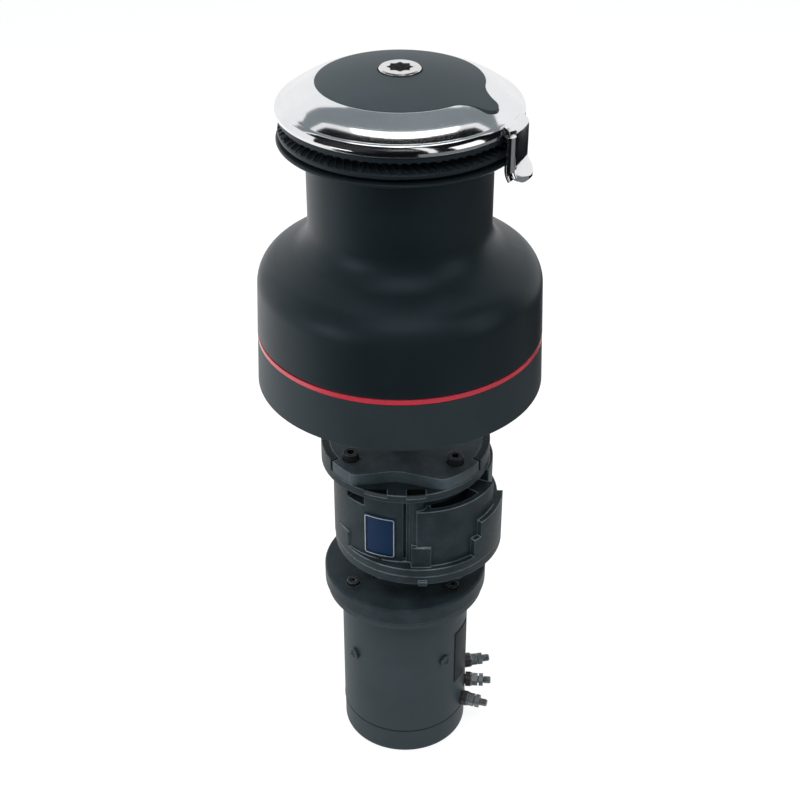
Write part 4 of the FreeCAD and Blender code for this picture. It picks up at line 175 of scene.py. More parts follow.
black = flag_cover("flag_black", (0.004, 0.005, 0.006), 0)
dim = flag_cover("flag_dim", (0.9, 0.96, 1.0), 0.22)
grey = flag_cover("flag_grey", (0.82, 0.93, 1.0), 0.28)
bright = flag_cover("flag_bright", (1, 1, 1), 1.0)
print("covers:", black.name, dim.name, grey.name, bright.name)

# %% [markdown]
# A flag shows only in reflections: the camera, the soft light and the shadows pass through it, so it
# darkens a mirror and leaves the light on the winch alone. Most flags are plain rectangles. The two
# ceilings have bent edges, for a reason given in the next step, and hang below the lamp overhead.

# %% Helpers for the flags
CEILING = 2.05
BEND_END = 1.25


def only_reflected(panel, cover):
    """Give a panel its cover and hide it from all but the reflections."""
    panel.data.materials.append(cover)
    panel.visible_camera = False
    panel.visible_diffuse = False
    panel.visible_shadow = False


def flag(name, place, size, cover, target=None):
    """A flat panel. It faces its target, or else lies flat."""
    bpy.ops.mesh.primitive_plane_add(size=1, location=place)
    panel = bpy.context.object
    panel.name = name
    panel.scale = (*size, 1)
    if target is not None:
        panel.rotation_mode = "QUATERNION"
        panel.rotation_quaternion = (Vector(target) - Vector(place)).to_track_quat("Z", "Y")
    only_reflected(panel, cover)


def ceiling(name, front, back, half, cover, steps=24):
    """A level panel whose front and back edges are parabolas, each a start and a bend."""
    corners = []
    for k in range(steps + 1):
        x = half * (2 * k / steps - 1)
        bent = min(abs(x), BEND_END) ** 2
        corners += [(x, start + bend * bent, CEILING) for start, bend in (front, back)]
    mesh = bpy.data.meshes.new(name)
    mesh.from_pydata(corners, [], [(2 * k, 2 * k + 1, 2 * k + 3, 2 * k + 2) for k in range(steps)])
    panel = bpy.data.objects.new(name, mesh)
    scene.collection.objects.link(panel)
    only_reflected(panel, cover)


print("height of the ceilings:", CEILING)

# %% [markdown]
# The polished ring is the best judge of the flags. From its inner edge to its outer edge it mirrors
# the backdrop, a grey ceiling, a bright gap and then the dark room with one narrow bright strip. The
# ring is round, so a straight gap would show as an oval. The edges of both ceilings bend away from
# the camera, and the gap then follows the rim as it does in the photograph. Black and white screens
# stand in front of the lamps that the ring would otherwise mirror.

# %% Place the flags
RING_TOP = (0, -0.1, 0.3)
flag("front_wall", (0, -3.0, 1.7), (6.0, 4.6), black, (0, 0, 1.7))
flag("front_floor", (0, -1.75, FLOOR_HEIGHT + 0.002), (3.2, 2.7), black)
flag("right_wall", (2.6, -1.0, 1.0), (4.0, 3.0), black, (0, -1.0, 1.0))
flag("right_floor", (2.05, -1.15, FLOOR_HEIGHT + 0.003), (3.1, 3.3), dim)
flag("back_floor", (1.7, 1.15, FLOOR_HEIGHT + 0.003), (2.4, 1.3), black)
ceiling("front_ceiling", (-3.0, 0), (-0.20, 0.50), 2.6, black)
ceiling("grey_ceiling", (0.03, 0.50), (1.30, 0.25), 2.6, grey)
flag("left_screen", (-1.25, 1.35, 0.4), (0.8, 2.4), bright, (0, 0, 0.3))
flag("right_screen", (1.35, 1.25, 0.4), (0.8, 2.4), bright, (0, 0, 0.3))
flag("key_screen", (-1.2, -0.95, 1.4), (2.0, 2.0), black, RING_TOP)
flag("front_screen", (0.09, -1.2, 1.78), (1.1, 0.8), black, RING_TOP)
flag("bright_strip", (0.585, -1.1, 1.35), (0.22, 2.0), bright, RING_TOP)

# %% [markdown]
# Large soft lamps light the winch. The main one stands high on the left, with a small one over the
# camera for the shoulder and the flanges, a weak one on the right and a broad one overhead. A strip
# on each side behind the winch draws a thin bright line along the dark edges, and a small weak lamp
# low on the left keeps the motor from going black.

# %% Lamps
def soft_lamp(name, place, target, size, power):
    """A rectangular lamp at a place, turned to face a target."""
    data = bpy.data.lights.new(name, "AREA")
    data.shape = "RECTANGLE"
    data.size, data.size_y = size
    data.energy = power
    lamp = bpy.data.objects.new(name, data)
    lamp.location = place
    lamp.rotation_mode = "QUATERNION"
    lamp.rotation_quaternion = (Vector(target) - Vector(place)).to_track_quat("-Z", "Y")
    scene.collection.objects.link(lamp)


soft_lamp("key", (-1.5, -1.2, 1.7), (0, 0, 0.05), (1.8, 1.8), 31)
soft_lamp("front_top", (0.1, -1.35, 1.95), (0, 0, 0), (0.9, 0.5), 15)
soft_lamp("fill", (1.8, -0.9, 0.7), (0, 0, -0.1), (1.0, 1.8), 8)
soft_lamp("top", (0.1, 0.5, 2.4), (0.1, 0.5, 0), (2.0, 2.0), 28)
soft_lamp("back_left", (-1.4, 1.5, 0.4), (0, 0, 0), (0.5, 2.2), 27)
soft_lamp("back_right", (1.5, 1.4, 0.3), (0, 0, -0.1), (0.5, 2.2), 12)
soft_lamp("low_left", (-1.1, -0.9, 0.25), (0, 0, -0.2), (0.5, 0.5), 2)

# %% [markdown]
# Three small helpers serve every finish: a colour made lighter or darker, a value brought to another
# range, and a mix of two colours.

# %% Helpers for finishes
def shifted(colour, factor):
    """A colour made lighter or darker, ready for a socket."""
    return (*(min(1, c * factor) for c in colour), 1)


def as_range(tree, value, low, high, start=0.0, end=1.0):
    """A value from start to end brought to the range from low to high."""
    made = add_node(tree, "ShaderNodeMapRange",
                    {"Value": value, "From Min": start, "From Max": end, "To Min": low, "To Max": high})
    return made.outputs["Result"]


def mix_colour(tree, share, first, second):
    """A mix of two colours, each a value or a socket."""
    made = add_node(tree, "ShaderNodeMix", data_type="RGBA")
    for slot, value in ((0, share), (6, first), (7, second)):
        if isinstance(value, bpy.types.NodeSocket):
            tree.links.new(value, made.inputs[slot])
        else:
            made.inputs[slot].default_value = value
    return made.outputs[2]


# %% [markdown]
# Paint wears first on the edges, where hands and tools touch it. The edges that face up are made
# lighter still, as a painted highlight of the light that falls on them from above. Such edges could be
# drawn by hand in a texture, but a rounded normal finds them by itself: where it differs from the true
# one there is an edge. A broad noise breaks the wear and the highlight up.

# %% Wear and a painted highlight on the upper edges
def edge_wear_and_highlight(tree, rounded, cloud):
    """A share from 0 on flat faces to 1 on worn edges, where it is partly a painted highlight."""
    true = add_node(tree, "ShaderNodeNewGeometry").outputs["Normal"]
    facing = add_node(tree, "ShaderNodeVectorMath", {0: rounded, 1: true},
                      operation="DOT_PRODUCT").outputs["Value"]
    # Edges that face up get the most of it, as a painted highlight of the light from above.
    height = add_node(tree, "ShaderNodeSeparateXYZ", {0: rounded}).outputs[2]
    edge = add_node(tree, "ShaderNodeMath",
                    {0: as_range(tree, facing, 1, 0, 0.82, 0.99),
                     1: as_range(tree, height, 0.12, 1, -0.1, 0.45)}, operation="MULTIPLY").outputs[0]
    return add_node(tree, "ShaderNodeMath", {0: edge, 1: as_range(tree, cloud, 0.35, 1, 0.35, 0.6)},
                    operation="MULTIPLY").outputs[0]


# %% [markdown]
# Every finish starts from the same idea. A broad noise makes the colour drift a little, and a fine
# one roughens the surface and lifts it as a tiny relief. A rounded normal softens the sharp edges of
# the solids, as a casting's edges are soft. What is the same all over is set on the shader's own
# sockets, so that it survives an export.

# %% A general finish
def plain_shader(name, metallic, coat, specular, gloss):
    """A new material with the values that are the same all over it."""
    material = bpy.data.materials.new(name)
    material.use_nodes = True
    shader = material.node_tree.nodes["Principled BSDF"]
    shader.inputs["Metallic"].default_value = metallic
    shader.inputs["Coat Weight"].default_value = coat
    shader.inputs["Coat Roughness"].default_value = 0.25
    shader.inputs["Specular IOR Level"].default_value = specular
    shader.inputs["Specular Tint"].default_value = (*gloss, 1)
    return material, material.node_tree, shader


def finish(name, colour, metallic=0.0, rough=(0.4, 0.5), drift=0.12, grain=900, relief=0.00002,
           round_edge=0.0, wear_and_highlight=None, coat=0.0, specular=0.5, broad=22, gloss=(1, 1, 1)):
    """A material with drifting colour, fine grain, soft edges and, if asked, worn edges with a painted
    highlight.
    """
    material, tree, shader = plain_shader(name, metallic, coat, specular, gloss)
    where = add_node(tree, "ShaderNodeTexCoord").outputs["Object"]
    cloud = add_node(tree, "ShaderNodeTexNoise", {"Vector": where, "Scale": broad, "Detail": 5.0,
                                                  "Roughness": 0.6}).outputs["Fac"]
    fine = add_node(tree, "ShaderNodeTexNoise", {"Vector": where, "Scale": grain, "Detail": 3.0,
                                                 "Roughness": 0.65}).outputs["Fac"]
    share = as_range(tree, cloud, 0, 1, 0.3, 0.7)
    tone = mix_colour(tree, share, shifted(colour, 1 - drift), shifted(colour, 1 + drift))
    rounded = None
    if round_edge > 0:
        rounded = add_node(tree, "ShaderNodeBevel", {"Radius": round_edge}, samples=6).outputs["Normal"]
    # Worn edges: partly wear, partly a painted highlight on the edges that face up.
    if wear_and_highlight is not None:
        tone = mix_colour(tree, edge_wear_and_highlight(tree, rounded, cloud), tone, (*wear_and_highlight, 1))
    tree.links.new(tone, shader.inputs["Base Color"])
    uneven = add_node(tree, "ShaderNodeMath", {0: fine, 1: cloud}, operation="ADD").outputs[0]
    tree.links.new(as_range(tree, uneven, rough[0], rough[1], 0.6, 1.4), shader.inputs["Roughness"])
    bump = add_node(tree, "ShaderNodeBump", {"Height": fine, "Distance": relief, "Strength": 1.0})
    if rounded is not None:
        tree.links.new(rounded, bump.inputs["Normal"])
    tree.links.new(bump.outputs["Normal"], shader.inputs["Normal"])
    return material


# %% [markdown]
# The drum is aluminium with hard black anodising. It is satin, a little lighter where the light
# grazes it, and its skin has the fine bite of a blasted surface. The skirt under the red ring is
# coated the same way but a shade lighter. The gloss of all the dark finishes is cool, a little blue.

# %% Drum and skirt finishes
# The worn colours in this step are partly wear and partly a painted highlight on the upper edges.
COOL_GLOSS = (0.66, 0.86, 1.0)
satin_drum = finish("satin_drum", (0.0065, 0.0105, 0.0130), rough=(0.34, 0.46), grain=1500,
                    relief=0.000018, round_edge=0.0012, wear_and_highlight=(0.025, 0.032, 0.036), broad=14,
                    specular=0.25, gloss=COOL_GLOSS)
coated_skirt = finish("coated_skirt", (0.018, 0.025, 0.0285), rough=(0.42, 0.55), grain=1300,
                      relief=0.000025, round_edge=0.001, wear_and_highlight=(0.04, 0.047, 0.05), broad=16,
                      specular=0.25, gloss=COOL_GLOSS)
red_ring = finish("red_ring", (0.41, 0.020, 0.038), rough=(0.25, 0.34), drift=0.06, grain=700,
                  relief=0.000008, coat=0.4, round_edge=0.0008)
jaw_moulding = finish("jaw_moulding", (0.008, 0.011, 0.0135), rough=(0.36, 0.5), grain=1100,
                      relief=0.00003, round_edge=0.0006, wear_and_highlight=(0.030, 0.038, 0.042), specular=0.3,
                      gloss=COOL_GLOSS)
grained_cap = finish("grained_cap", (0.032, 0.041, 0.046), rough=(0.5, 0.62), grain=1900,
                     relief=0.00003, round_edge=0.0008, broad=30, specular=0.25, gloss=COOL_GLOSS)
print("materials so far:", len(bpy.data.materials))

# %% [markdown]
# The gearbox and the motor flanges are painted castings. Cast surfaces are pebbled, their edges are
# soft, and their upper edges are lighter, partly from thinner paint and partly as a painted highlight.
# The adapter plate on top has the same skin, made a lighter grey as painted light for the shade under
# the drum. The motor's barrel is drawn steel under the same paint, so it is smoother.

# %% Casting and motor finishes
# The worn colours in this step are partly wear and partly a painted highlight on the upper edges.
CAST_SKIN = dict(rough=(0.38, 0.58), drift=0.4, grain=300, relief=0.00026, broad=34,
                 wear_and_highlight=(0.22, 0.26, 0.275), gloss=COOL_GLOSS)
painted_casting = finish("painted_casting", (0.0155, 0.0225, 0.0265), round_edge=0.0024,
                         specular=0.15, **CAST_SKIN)
# The adapter's lighter colour is painted light for the shade under the drum.
lit_adapter_paint = finish("lit_adapter_paint", (0.042, 0.057, 0.064), round_edge=0.0018, specular=0.25,
                       **CAST_SKIN)
motor_paint = finish("motor_paint", (0.030, 0.040, 0.0445), rough=(0.44, 0.56), drift=0.12, grain=520,
                     relief=0.00005, round_edge=0.0006, wear_and_highlight=(0.045, 0.055, 0.06), broad=12,
                     specular=0.14, gloss=COOL_GLOSS)
black_steel = finish("black_steel", (0.028, 0.034, 0.038), metallic=0.6, rough=(0.32, 0.45),
                     grain=900, round_edge=0.0007, wear_and_highlight=(0.32, 0.35, 0.36))
dull_plating = finish("dull_plating", (0.15, 0.165, 0.175), metallic=0.8, rough=(0.32, 0.5),
                      drift=0.35, grain=700, round_edge=0.0004, wear_and_highlight=(0.46, 0.47, 0.47), broad=90)
print("materials so far:", len(bpy.data.materials))

# %% [markdown]
# Inside the winch there are bronze castings, hardened gears, machined aluminium, acetal rollers and
# varnished iron. They hardly show, but somebody may take the drum off and look inside, so each has
# its own finish too.

# %% Inner finishes
bronze = finish("bronze", (0.42, 0.26, 0.10), metallic=1.0, rough=(0.3, 0.48), drift=0.2, grain=600,
                relief=0.00004, round_edge=0.0008)
gear_steel = finish("gear_steel", (0.36, 0.36, 0.37), metallic=1.0, rough=(0.22, 0.36), drift=0.12,
                    grain=800, relief=0.000012, round_edge=0.0004)
machined_aluminium = finish("machined_aluminium", (0.56, 0.57, 0.58), metallic=1.0,
                            rough=(0.25, 0.4), grain=800, relief=0.000012, round_edge=0.0006)
acetal = finish("acetal", (0.72, 0.70, 0.64), rough=(0.35, 0.45), drift=0.05, grain=500,
                relief=0.000015, round_edge=0.0005)
varnished_iron = finish("varnished_iron", (0.09, 0.06, 0.04), metallic=0.3, rough=(0.3, 0.5),
                        drift=0.3, grain=500, relief=0.00006, coat=0.3, round_edge=0.0006)
phenolic = finish("phenolic", (0.020, 0.016, 0.014), rough=(0.35, 0.5), drift=0.25, grain=900,
                  relief=0.00004, round_edge=0.0006)
seal_rubber = finish("seal_rubber", (0.003, 0.003, 0.003), rough=(0.55, 0.7), grain=900,
                     relief=0.00003, round_edge=0.0004, specular=0.15)
print("materials so far:", len(bpy.data.materials))

# %% [markdown]
# Parts that come from the lathe keep fine marks that run round them. Turning marks are rings, so the
# noise is read from the distance to the axis and from the height alone, and it is the same all the
# way round.

# %% Marks of the lathe
def lathe_marks(tree, lines):
    """A noise that makes rings round the drum's axis."""
    where = add_node(tree, "ShaderNodeTexCoord").outputs["Object"]
    parts = add_node(tree, "ShaderNodeSeparateXYZ", {0: where})
    flat = add_node(tree, "ShaderNodeCombineXYZ", {0: parts.outputs[0], 1: parts.outputs[1]})
    reach = add_node(tree, "ShaderNodeVectorMath", {0: flat.outputs[0]}, operation="LENGTH")
    rings = add_node(tree, "ShaderNodeCombineXYZ",
                     {0: reach.outputs["Value"], 2: parts.outputs[2]}).outputs[0]
    return add_node(tree, "ShaderNodeTexNoise",
                    {"Vector": rings, "Scale": lines, "Detail": 2.0}).outputs["Fac"]


# %% [markdown]
# The stripper ring is polished stainless steel. A mirror alone looks like a computer's idea of
# metal. On a mirror even the faintest relief would tear the reflections, so the marks go into the
# roughness and spread the highlights a little. The star socket is only turned, and there the marks
# are a true relief.

# %% Polished and turned finishes
def polished_finish(name, colour, rough, lines, round_edge):
    """Mirror metal whose gloss changes a little from ring to ring."""
    material = finish(name, colour, metallic=1.0, rough=rough, drift=0.05, grain=500, relief=0.0,
                      round_edge=round_edge)
    tree = material.node_tree
    spread = as_range(tree, lathe_marks(tree, lines), rough[0], rough[1], 0.35, 0.65)
    tree.links.new(spread, tree.nodes["Principled BSDF"].inputs["Roughness"])
    return material


def turned_finish(name, colour, rough, depth, lines, round_edge):
    """Metal with fine rings left by the lathe, as deep as depth."""
    material = finish(name, colour, metallic=1.0, rough=rough, drift=0.05, grain=500, relief=0.0,
                      round_edge=round_edge)
    tree = material.node_tree
    normal = tree.nodes["Principled BSDF"].inputs["Normal"]
    old = normal.links[0].from_node
    soft_edge = old.inputs["Normal"].links[0].from_socket
    bump = add_node(tree, "ShaderNodeBump", {"Height": lathe_marks(tree, lines), "Distance": depth,
                                             "Strength": 1.0, "Normal": soft_edge})
    tree.nodes.remove(old)
    tree.links.new(bump.outputs["Normal"], normal)
    return material


polished_ring = polished_finish("polished_ring", (0.78, 0.79, 0.80), (0.06, 0.12), 1500, 0.0008)
socket_steel = turned_finish("socket_steel", (0.70, 0.70, 0.70), (0.16, 0.28), 0.000004, 2500, 0.0006)
print("materials so far:", len(bpy.data.materials))

# %% [markdown]
# Both identification plates are left bare. The one on the gearbox is blue anodised aluminium, the
# one on the motor a dark foil.

# %% Plate finishes
blue_plate = finish("blue_plate", (0.002, 0.015, 0.050), metallic=0.1, rough=(0.3, 0.42), drift=0.1,
                    grain=900, relief=0.00001, specular=0.2, gloss=COOL_GLOSS)
dark_plate = finish("dark_plate", (0.004, 0.006, 0.008), rough=(0.45, 0.55), drift=0.1,
                    grain=900, relief=0.00001, specular=0.1, gloss=COOL_GLOSS)
pale_edge = finish("pale_edge", (0.42, 0.44, 0.46), metallic=0.8, rough=(0.3, 0.4), drift=0.08,
                   grain=700, relief=0.00001)
print("materials so far:", len(bpy.data.materials))

# %% [markdown]
# Each solid names the slot of its material in the CAD record, and this table gives every slot its
# finish. The adapter plate is the one exception: it is cast like the gearbox, but its paint is made
# lighter as painted light, because the plate lies in the shade under the drum.

# %% Give each solid its finish
SLOT_FINISH = {
    "anodised_black": satin_drum,
    "skirt_black": coated_skirt,
    "trim_red": red_ring,
    "polished_steel": polished_ring,
    "cap_black": grained_cap,
    "jaw_black": jaw_moulding,
    "socket_steel": socket_steel,
    "gear_steel": gear_steel,
    "bronze": bronze,
    "bright_aluminium": machined_aluminium,
    "bearing_plastic": acetal,
    "casting_grey": painted_casting,
    "motor_grey": motor_paint,
    "screw_black": black_steel,
    "stud_steel": dull_plating,
    "plate_blue": blue_plate,
    "plate_dark": dark_plate,
    "laminations": varnished_iron,
    "insulation": phenolic,
    "seal_rubber": seal_rubber,
}
OWN_FINISH = {"adapter_plate": lit_adapter_paint}
for part in frame["record"]["subparts"]:
    solid = winch[part["node"]]
    solid.data.materials.clear()
    solid.data.materials.append(OWN_FINISH.get(part["node"], SLOT_FINISH[part["material_slot"]]))
print("finishes:", len(SLOT_FINISH) + len(OWN_FINISH))

# %% [markdown]
# The small forms need meshes. This helper makes one from lists of corners and faces, gives it its
# finish and lets it ride on the body that carries it.

# %% A helper for meshes
def add_mesh(name, corners, faces, material, body, smooth=True):
    """A mesh object in the winch's own frame, in metres."""
    mesh = bpy.data.meshes.new(name)
    mesh.from_pydata([tuple(c) for c in corners], [], faces)
    work = bmesh.new()
    work.from_mesh(mesh)
    bmesh.ops.recalc_face_normals(work, faces=work.faces)
    work.to_mesh(mesh)
    work.free()
    for face in mesh.polygons:
        face.use_smooth = smooth
    piece = bpy.data.objects.new(name, mesh)
    scene.collection.objects.link(piece)
    mesh.materials.append(material)
    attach(piece, body)
    return piece


# %% [markdown]
# The free ends of the three terminal studs are threaded. A thread is one ridge wound round the rod,
# so a small triangle is swept along a helix. The pitch is that of a common 8 mm stud.

# %% Threads on the terminal studs
MOTOR_X = 0.0058
TERMINALS = ((10, -0.408), (-4, -0.421), (-19, -0.433))
STUD_RADIUS = 0.004
THREAD_START = 0.0919
THREAD_END = 0.0992
PITCH = 0.00125
STEPS = 28
RIDGE_HALF = 0.45
RIDGE_SINK = 0.00008
RIDGE_LIFT = 0.00034
FADE_STEPS = 8


def thread(name, angle, height):
    """One helical ridge round a stud that points away from the motor at this angle."""
    out = Vector((math.cos(math.radians(angle)), math.sin(math.radians(angle)), 0))
    side = Vector((-out.y, out.x, 0))
    centre = Vector((MOTOR_X, 0, height))
    turns = (THREAD_END - THREAD_START - PITCH) / PITCH
    count = int(turns * STEPS)
    corners, faces = [], []
    for step in range(count + 1):
        turn = 2 * math.pi * step / STEPS
        along = THREAD_START + PITCH * (0.5 + step / STEPS)
        fade = min(1, step / FADE_STEPS, (count - step) / FADE_STEPS)
        for shift, lift in ((-RIDGE_HALF, -RIDGE_SINK), (0, RIDGE_LIFT * fade),
                            (RIDGE_HALF, -RIDGE_SINK)):
            reach = STUD_RADIUS + lift
            ray = side * math.cos(turn) + Vector((0, 0, math.sin(turn)))
            corners.append(centre + out * (along + PITCH * shift) + ray * reach)
    for step in range(count):
        a, b = 3 * step, 3 * step + 3
        for k in range(3):
            n = (k + 1) % 3
            faces.append((a + k, a + n, b + n, b + k))
    faces.append((0, 1, 2))
    last = 3 * count
    faces.append((last + 2, last + 1, last))
    return add_mesh(name, corners, faces, dull_plating, "frame")


for index, (angle, height) in enumerate(TERMINALS):
    thread(f"stud_thread_{index + 1}", angle, height)
print("thread turns:", round((THREAD_END - THREAD_START) / PITCH, 1))

# %% [markdown]
# Four screws go through the barrel and hold the pole shoes. Their heads have a cross recess for the
# driver. A thin cover with a sloping edge and a cross-shaped hole lies on each plain head, so the
# recess has real walls and a floor.

# %% Cross recesses of the pole screws
POLE_ANGLES = (-52, 38, 128, 218)
POLE_HEIGHT = -0.345
HEAD_FACE = 0.0728
HEAD_RADIUS = 0.0063
COVER_HEIGHT = 0.0009
COVER_SINK = 0.0001
RIM_SHARE = 0.45
FACE_SHARE = 0.86
CROSS_ARM = 0.0042
CROSS_HALF_WIDTH = 0.00085
CROSS_TURN = 33
ROUND_STEPS = 36
CROSS_CORNERS = 12


def cross_outline(arm, half, turn):
    """The twelve corners of a cross, turned by some degrees."""
    corners = []
    for quarter in range(4):
        a = math.radians(turn + 90 * quarter)
        for x, y in ((half, half), (half, arm), (-half, arm)):
            corners.append((x * math.cos(a) - y * math.sin(a), x * math.sin(a) + y * math.cos(a)))
    return corners


def screw_cover(name, angle):
    """A disc with a cross-shaped hole and a sloping edge, on the head at this angle."""
    out = Vector((math.cos(math.radians(angle)), math.sin(math.radians(angle)), 0))
    side = Vector((-out.y, out.x, 0))
    centre = Vector((MOTOR_X, 0, POLE_HEIGHT)) + out * HEAD_FACE
    cross = cross_outline(CROSS_ARM, CROSS_HALF_WIDTH, CROSS_TURN)
    levels = []
    turns = [2 * math.pi * k / ROUND_STEPS for k in range(ROUND_STEPS)]
    for height, radius in ((-COVER_SINK, HEAD_RADIUS), (COVER_HEIGHT * RIM_SHARE, HEAD_RADIUS),
                           (COVER_HEIGHT, HEAD_RADIUS * FACE_SHARE)):
        levels.append([(radius * math.cos(a), radius * math.sin(a), height) for a in turns])
    levels += [[(x, y, height) for x, y in cross] for height in (COVER_HEIGHT, -COVER_SINK)]
    corners = [centre + side * x + Vector((0, 0, y)) + out * h for loop in levels for x, y, h in loop]
    starts = [sum(len(loop) for loop in levels[:k]) for k in range(len(levels))]
    faces = []
    for first, second in ((0, 1), (1, 2), (3, 4)):
        a, b, count = starts[first], starts[second], len(levels[first])
        faces += [(a + k, a + (k + 1) % count, b + (k + 1) % count, b + k) for k in range(count)]
    for outer, inner in ((2, 3), (0, 4)):
        flat = [[Vector((x, y, 0)) for x, y, h in levels[level]] for level in (outer, inner)]
        order = [*range(starts[outer], starts[outer] + ROUND_STEPS),
                 *range(starts[inner], starts[inner] + CROSS_CORNERS)]
        faces += [tuple(order[k] for k in triangle) for triangle in tessellate_polygon(flat)]
    return add_mesh(name, corners, faces, motor_paint, "frame", smooth=False)


for index, angle in enumerate(POLE_ANGLES):
    screw_cover(f"pole_screw_cover_{index + 1}", angle)
print("screw covers:", len(POLE_ANGLES))

# %% [markdown]
# A plate that is bent to a round body is easiest to draw flat, as an outline of distances along the
# arc and up, and then wrapped onto the cylinder. Long straight sides are divided first, because only
# their points are bent.

# %% Outlines on a round body
LONGEST_STEP = 0.0015


def rounded_rectangle(left, right, low, high, corner, steps=6):
    """Points round a rectangle with round corners, anticlockwise, with no step too long to bend."""
    points = []
    for x, y, start in ((right, high, 0), (left, high, 90), (left, low, 180), (right, low, 270)):
        cx = x - corner if x == right else x + corner
        cy = y - corner if y == high else y + corner
        for k in range(steps + 1):
            a = math.radians(start + 90 * k / steps)
            points.append((cx + corner * math.cos(a), cy + corner * math.sin(a)))
    divided = []
    for k, (x, y) in enumerate(points):
        end_x, end_y = points[(k + 1) % len(points)]
        parts = 1 + int(abs(end_x - x) / LONGEST_STEP)
        divided += [(x + (end_x - x) * m / parts, y + (end_y - y) * m / parts) for m in range(parts)]
    return divided


def wrapped(radius, rise, along, height):
    """A point this far round a cylinder about the motor's axis, and this far above its face."""
    angle = along / radius
    reach = radius + rise
    return Vector((MOTOR_X + reach * math.cos(angle), reach * math.sin(angle), height))


print("longest step along an arc in mm:", LONGEST_STEP * 1000)

# %% [markdown]
# A bare plate without a border looks like a patch of paint. The border is a thin raised strip between
# two rounded rectangles, pressed on the real plates, and it catches the light along one side.

# %% Borders of the two plates
SMALLEST_CORNER = 0.0002


def plate_border(name, radius, start, end, low, high, inset, width, lift, corner, material):
    """A raised strip near the edge of a curved plate."""
    left, right = math.radians(start) * radius, math.radians(end) * radius
    loops = []
    for shrink, rise in ((inset, 0), (inset + 0.15 * width, lift), (inset + 0.85 * width, lift),
                         (inset + width, 0)):
        outline = rounded_rectangle(left + shrink, right - shrink, low + shrink, high - shrink,
                                    max(corner - shrink, SMALLEST_CORNER))
        loops.append([wrapped(radius, rise, along, height) for along, height in outline])
    count = len(loops[0])
    corners = [p for loop in loops for p in loop]
    faces = []
    for ring in range(len(loops)):
        other = (ring + 1) % len(loops)
        for k in range(count):
            n = (k + 1) % count
            faces.append((ring * count + k, ring * count + n, other * count + n, other * count + k))
    return add_mesh(name, corners, faces, material, "frame")


for border in (
    plate_border("gearbox_plate_border", 0.0789, start=-122.8, end=-98.2, low=-0.1818, high=-0.1322,
                 inset=0.0004, width=0.0012, lift=0.00015, corner=0.003, material=pale_edge),
    plate_border("motor_plate_border", 0.0707, start=-37.8, end=-13.2, low=-0.3898, high=-0.3182,
                 inset=0.0006, width=0.0008, lift=0.0001, corner=0.002, material=dark_plate),
):
    print(border.name, "faces:", len(border.data.polygons))

# %% [markdown]
# The jaws grip the rope with slanted teeth, so that it can't slip round in the groove. Each tooth is
# a low wedge that gets flatter outwards and slants a little from the inner edge to the outer one.
# The same wedge is repeated round both jaws.

# %% Teeth of the rope jaws
TOOTH_COUNT = 84
TOOTH_WIDTH = 0.0046
TOOTH_HEIGHT = 0.0011
TOOTH_SINK = 0.0004
TOOTH_LEAN = 4
TOOTH_FADE = 0.35
CREST = 0.2
UPPER_FACE = ((0.097, 0.27334), (0.1126, 0.27691))
LOWER_FACE = ((0.097, 0.26894), (0.1126, 0.26656))


def jaw_tooth(corners, faces, angle, inner, outer, side):
    """One wedge on a conical jaw face. inner and outer are (radius, height) on the face."""
    first = len(corners)
    for share in (0.0, 0.5, 1.0):
        radius = inner[0] + (outer[0] - inner[0]) * share
        level = inner[1] + (outer[1] - inner[1]) * share
        twist = math.radians(angle + TOOTH_LEAN * share)
        half = TOOTH_WIDTH / 2 / radius
        crest = TOOTH_HEIGHT * (1 - TOOTH_FADE * share)
        for offset, rise in ((-half, -TOOTH_SINK), (half * CREST, crest), (half, -TOOTH_SINK)):
            a = twist + offset
            corners.append((radius * math.cos(a), radius * math.sin(a), level + side * rise))
    for k in range(2):
        a, b = first + 3 * k, first + 3 * k + 3
        for m in range(3):
            n = (m + 1) % 3
            faces.append((a + m, a + n, b + n, b + m))
    faces.append((first, first + 1, first + 2))
    faces.append((first + 8, first + 7, first + 6))


def jaw_teeth(name, inner, outer, side, body):
    """A full circle of teeth as one mesh."""
    corners, faces = [], []
    for k in range(TOOTH_COUNT):
        jaw_tooth(corners, faces, 360 * k / TOOTH_COUNT, inner, outer, side)
    return add_mesh(name, corners, faces, jaw_moulding, body, smooth=False)


jaw_teeth("upper_jaw_teeth", *UPPER_FACE, -1, "drum")
jaw_teeth("lower_jaw_teeth", *LOWER_FACE, 1, "lower_jaw")
print("teeth on each jaw:", TOOTH_COUNT)

# %% [markdown]
# Where the end cap meets the barrel, a bead of black rubber fills the groove as painted shade for the
# seam. It stands a hair proud of the paint and reads as a dark line.

# %% A dark bead for the shade in the motor's seam
# The black bead is painted shade: it darkens the seam where the real gap lies in shadow.
SEAM_RADII = (0.0690, 0.0701, 0.0703, 0.0701, 0.0690)
SEAM_HEIGHTS = (-0.43965, -0.43990, -0.44050, -0.44110, -0.44135)


def seam_shade_bead(steps=144):
    """A closed ring with a flat round front."""
    corners, faces = [], []
    rows = len(SEAM_RADII)
    for k in range(steps):
        a = 2 * math.pi * k / steps
        corners += [(MOTOR_X + radius * math.cos(a), radius * math.sin(a), height)
                    for radius, height in zip(SEAM_RADII, SEAM_HEIGHTS)]
    for k in range(steps):
        here, there = rows * k, rows * ((k + 1) % steps)
        faces += [(here + n, there + n, there + (n + 1) % rows, here + (n + 1) % rows)
                  for n in range(rows)]
    return add_mesh("seam_shade_bead", corners, faces, seal_rubber, "frame")


print("seam bead:", len(seam_shade_bead().data.polygons), "faces")

# %% [markdown]
# The two pockets in the top of the gearbox flange are closed at the front by a low thin wall, so
# that only a crescent shows of each. This lip is a short arc with a flat rectangular section, painted
# like the motor.

# %% Lips in front of the flange pockets
LIP_TOP = -0.0940
LIP_BOTTOM = -0.0980
LIP_RADII = (0.0872, 0.0884)


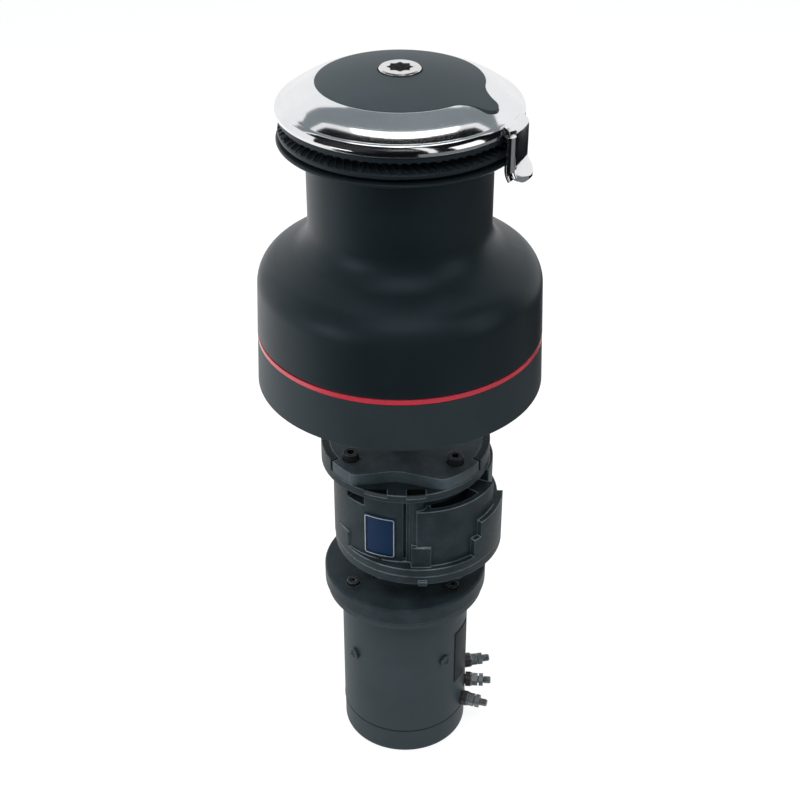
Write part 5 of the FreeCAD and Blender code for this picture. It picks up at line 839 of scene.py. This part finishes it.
def pocket_lip(name, start, end, steps=16):
    """A thin arc from one x to another, in front of a pocket."""
    corners = []
    for k in range(steps + 1):
        x = start + (end - start) * k / steps
        for radius in LIP_RADII:
            y = -math.sqrt(radius ** 2 - (x - MOTOR_X) ** 2)
            corners += [(x, y, LIP_BOTTOM), (x, y, LIP_TOP)]
    faces = [(0, 1, 3, 2), tuple(4 * steps + n for n in (0, 2, 3, 1))]
    for k in range(steps):
        a, b = 4 * k, 4 * k + 4
        for first, second in ((0, 1), (1, 3), (3, 2), (2, 0)):
            faces.append((a + first, a + second, b + second, b + first))
    return add_mesh(name, corners, faces, motor_paint, "frame", smooth=False)


POCKETS = {"left": (-0.0364, -0.0130), "right": (0.0066, 0.0260)}
for side, (start, end) in POCKETS.items():
    pocket_lip(f"{side}_pocket_lip", start, end)
print("pockets with a lip:", len(POCKETS))

# %% [markdown]
# Inside, a pocket is dark, because little light gets in. A thin black shell on its floor and back
# wall paints this shade with a true surface. It is L-shaped and ends at the lip.

# %% Painted shade in the flange pockets
POCKET_BACK = -0.0776
POCKET_TOP = -0.0931
POCKET_FLOOR = -0.0979
SHELL = 0.0003


def pocket_shade_lining(name, start, end, steps=16):
    """A thin dark shell of painted shade on the floor and the back wall of a pocket, up to its lip."""
    corners, faces = [], []
    for k in range(steps + 1):
        x = start + (end - start) * k / steps
        front = -math.sqrt(LIP_RADII[0] ** 2 - (x - MOTOR_X) ** 2)
        inside, above = POCKET_BACK - SHELL, POCKET_FLOOR + SHELL
        for y, z in ((POCKET_BACK, POCKET_TOP), (POCKET_BACK, POCKET_FLOOR), (front, POCKET_FLOOR),
                     (front, above), (inside, above), (inside, POCKET_TOP)):
            corners.append((x, y, z))
    for k in range(steps):
        a, b = 6 * k, 6 * k + 6
        faces += [(a + n, a + (n + 1) % 6, b + (n + 1) % 6, b + n) for n in range(6)]
    for first in (0, 6 * steps):
        faces += [tuple(first + n for n in (0, 1, 4, 5)), tuple(first + n for n in (1, 2, 3, 4))]
    # The shell is black painted shade, in the finish of the rubber seals.
    return add_mesh(name, corners, faces, seal_rubber, "frame", smooth=False)


for side, (start, end) in POCKETS.items():
    pocket_shade_lining(f"{side}_pocket_shade_lining", start + SHELL, end - SHELL)
print("pockets with a lining:", len(POCKETS))
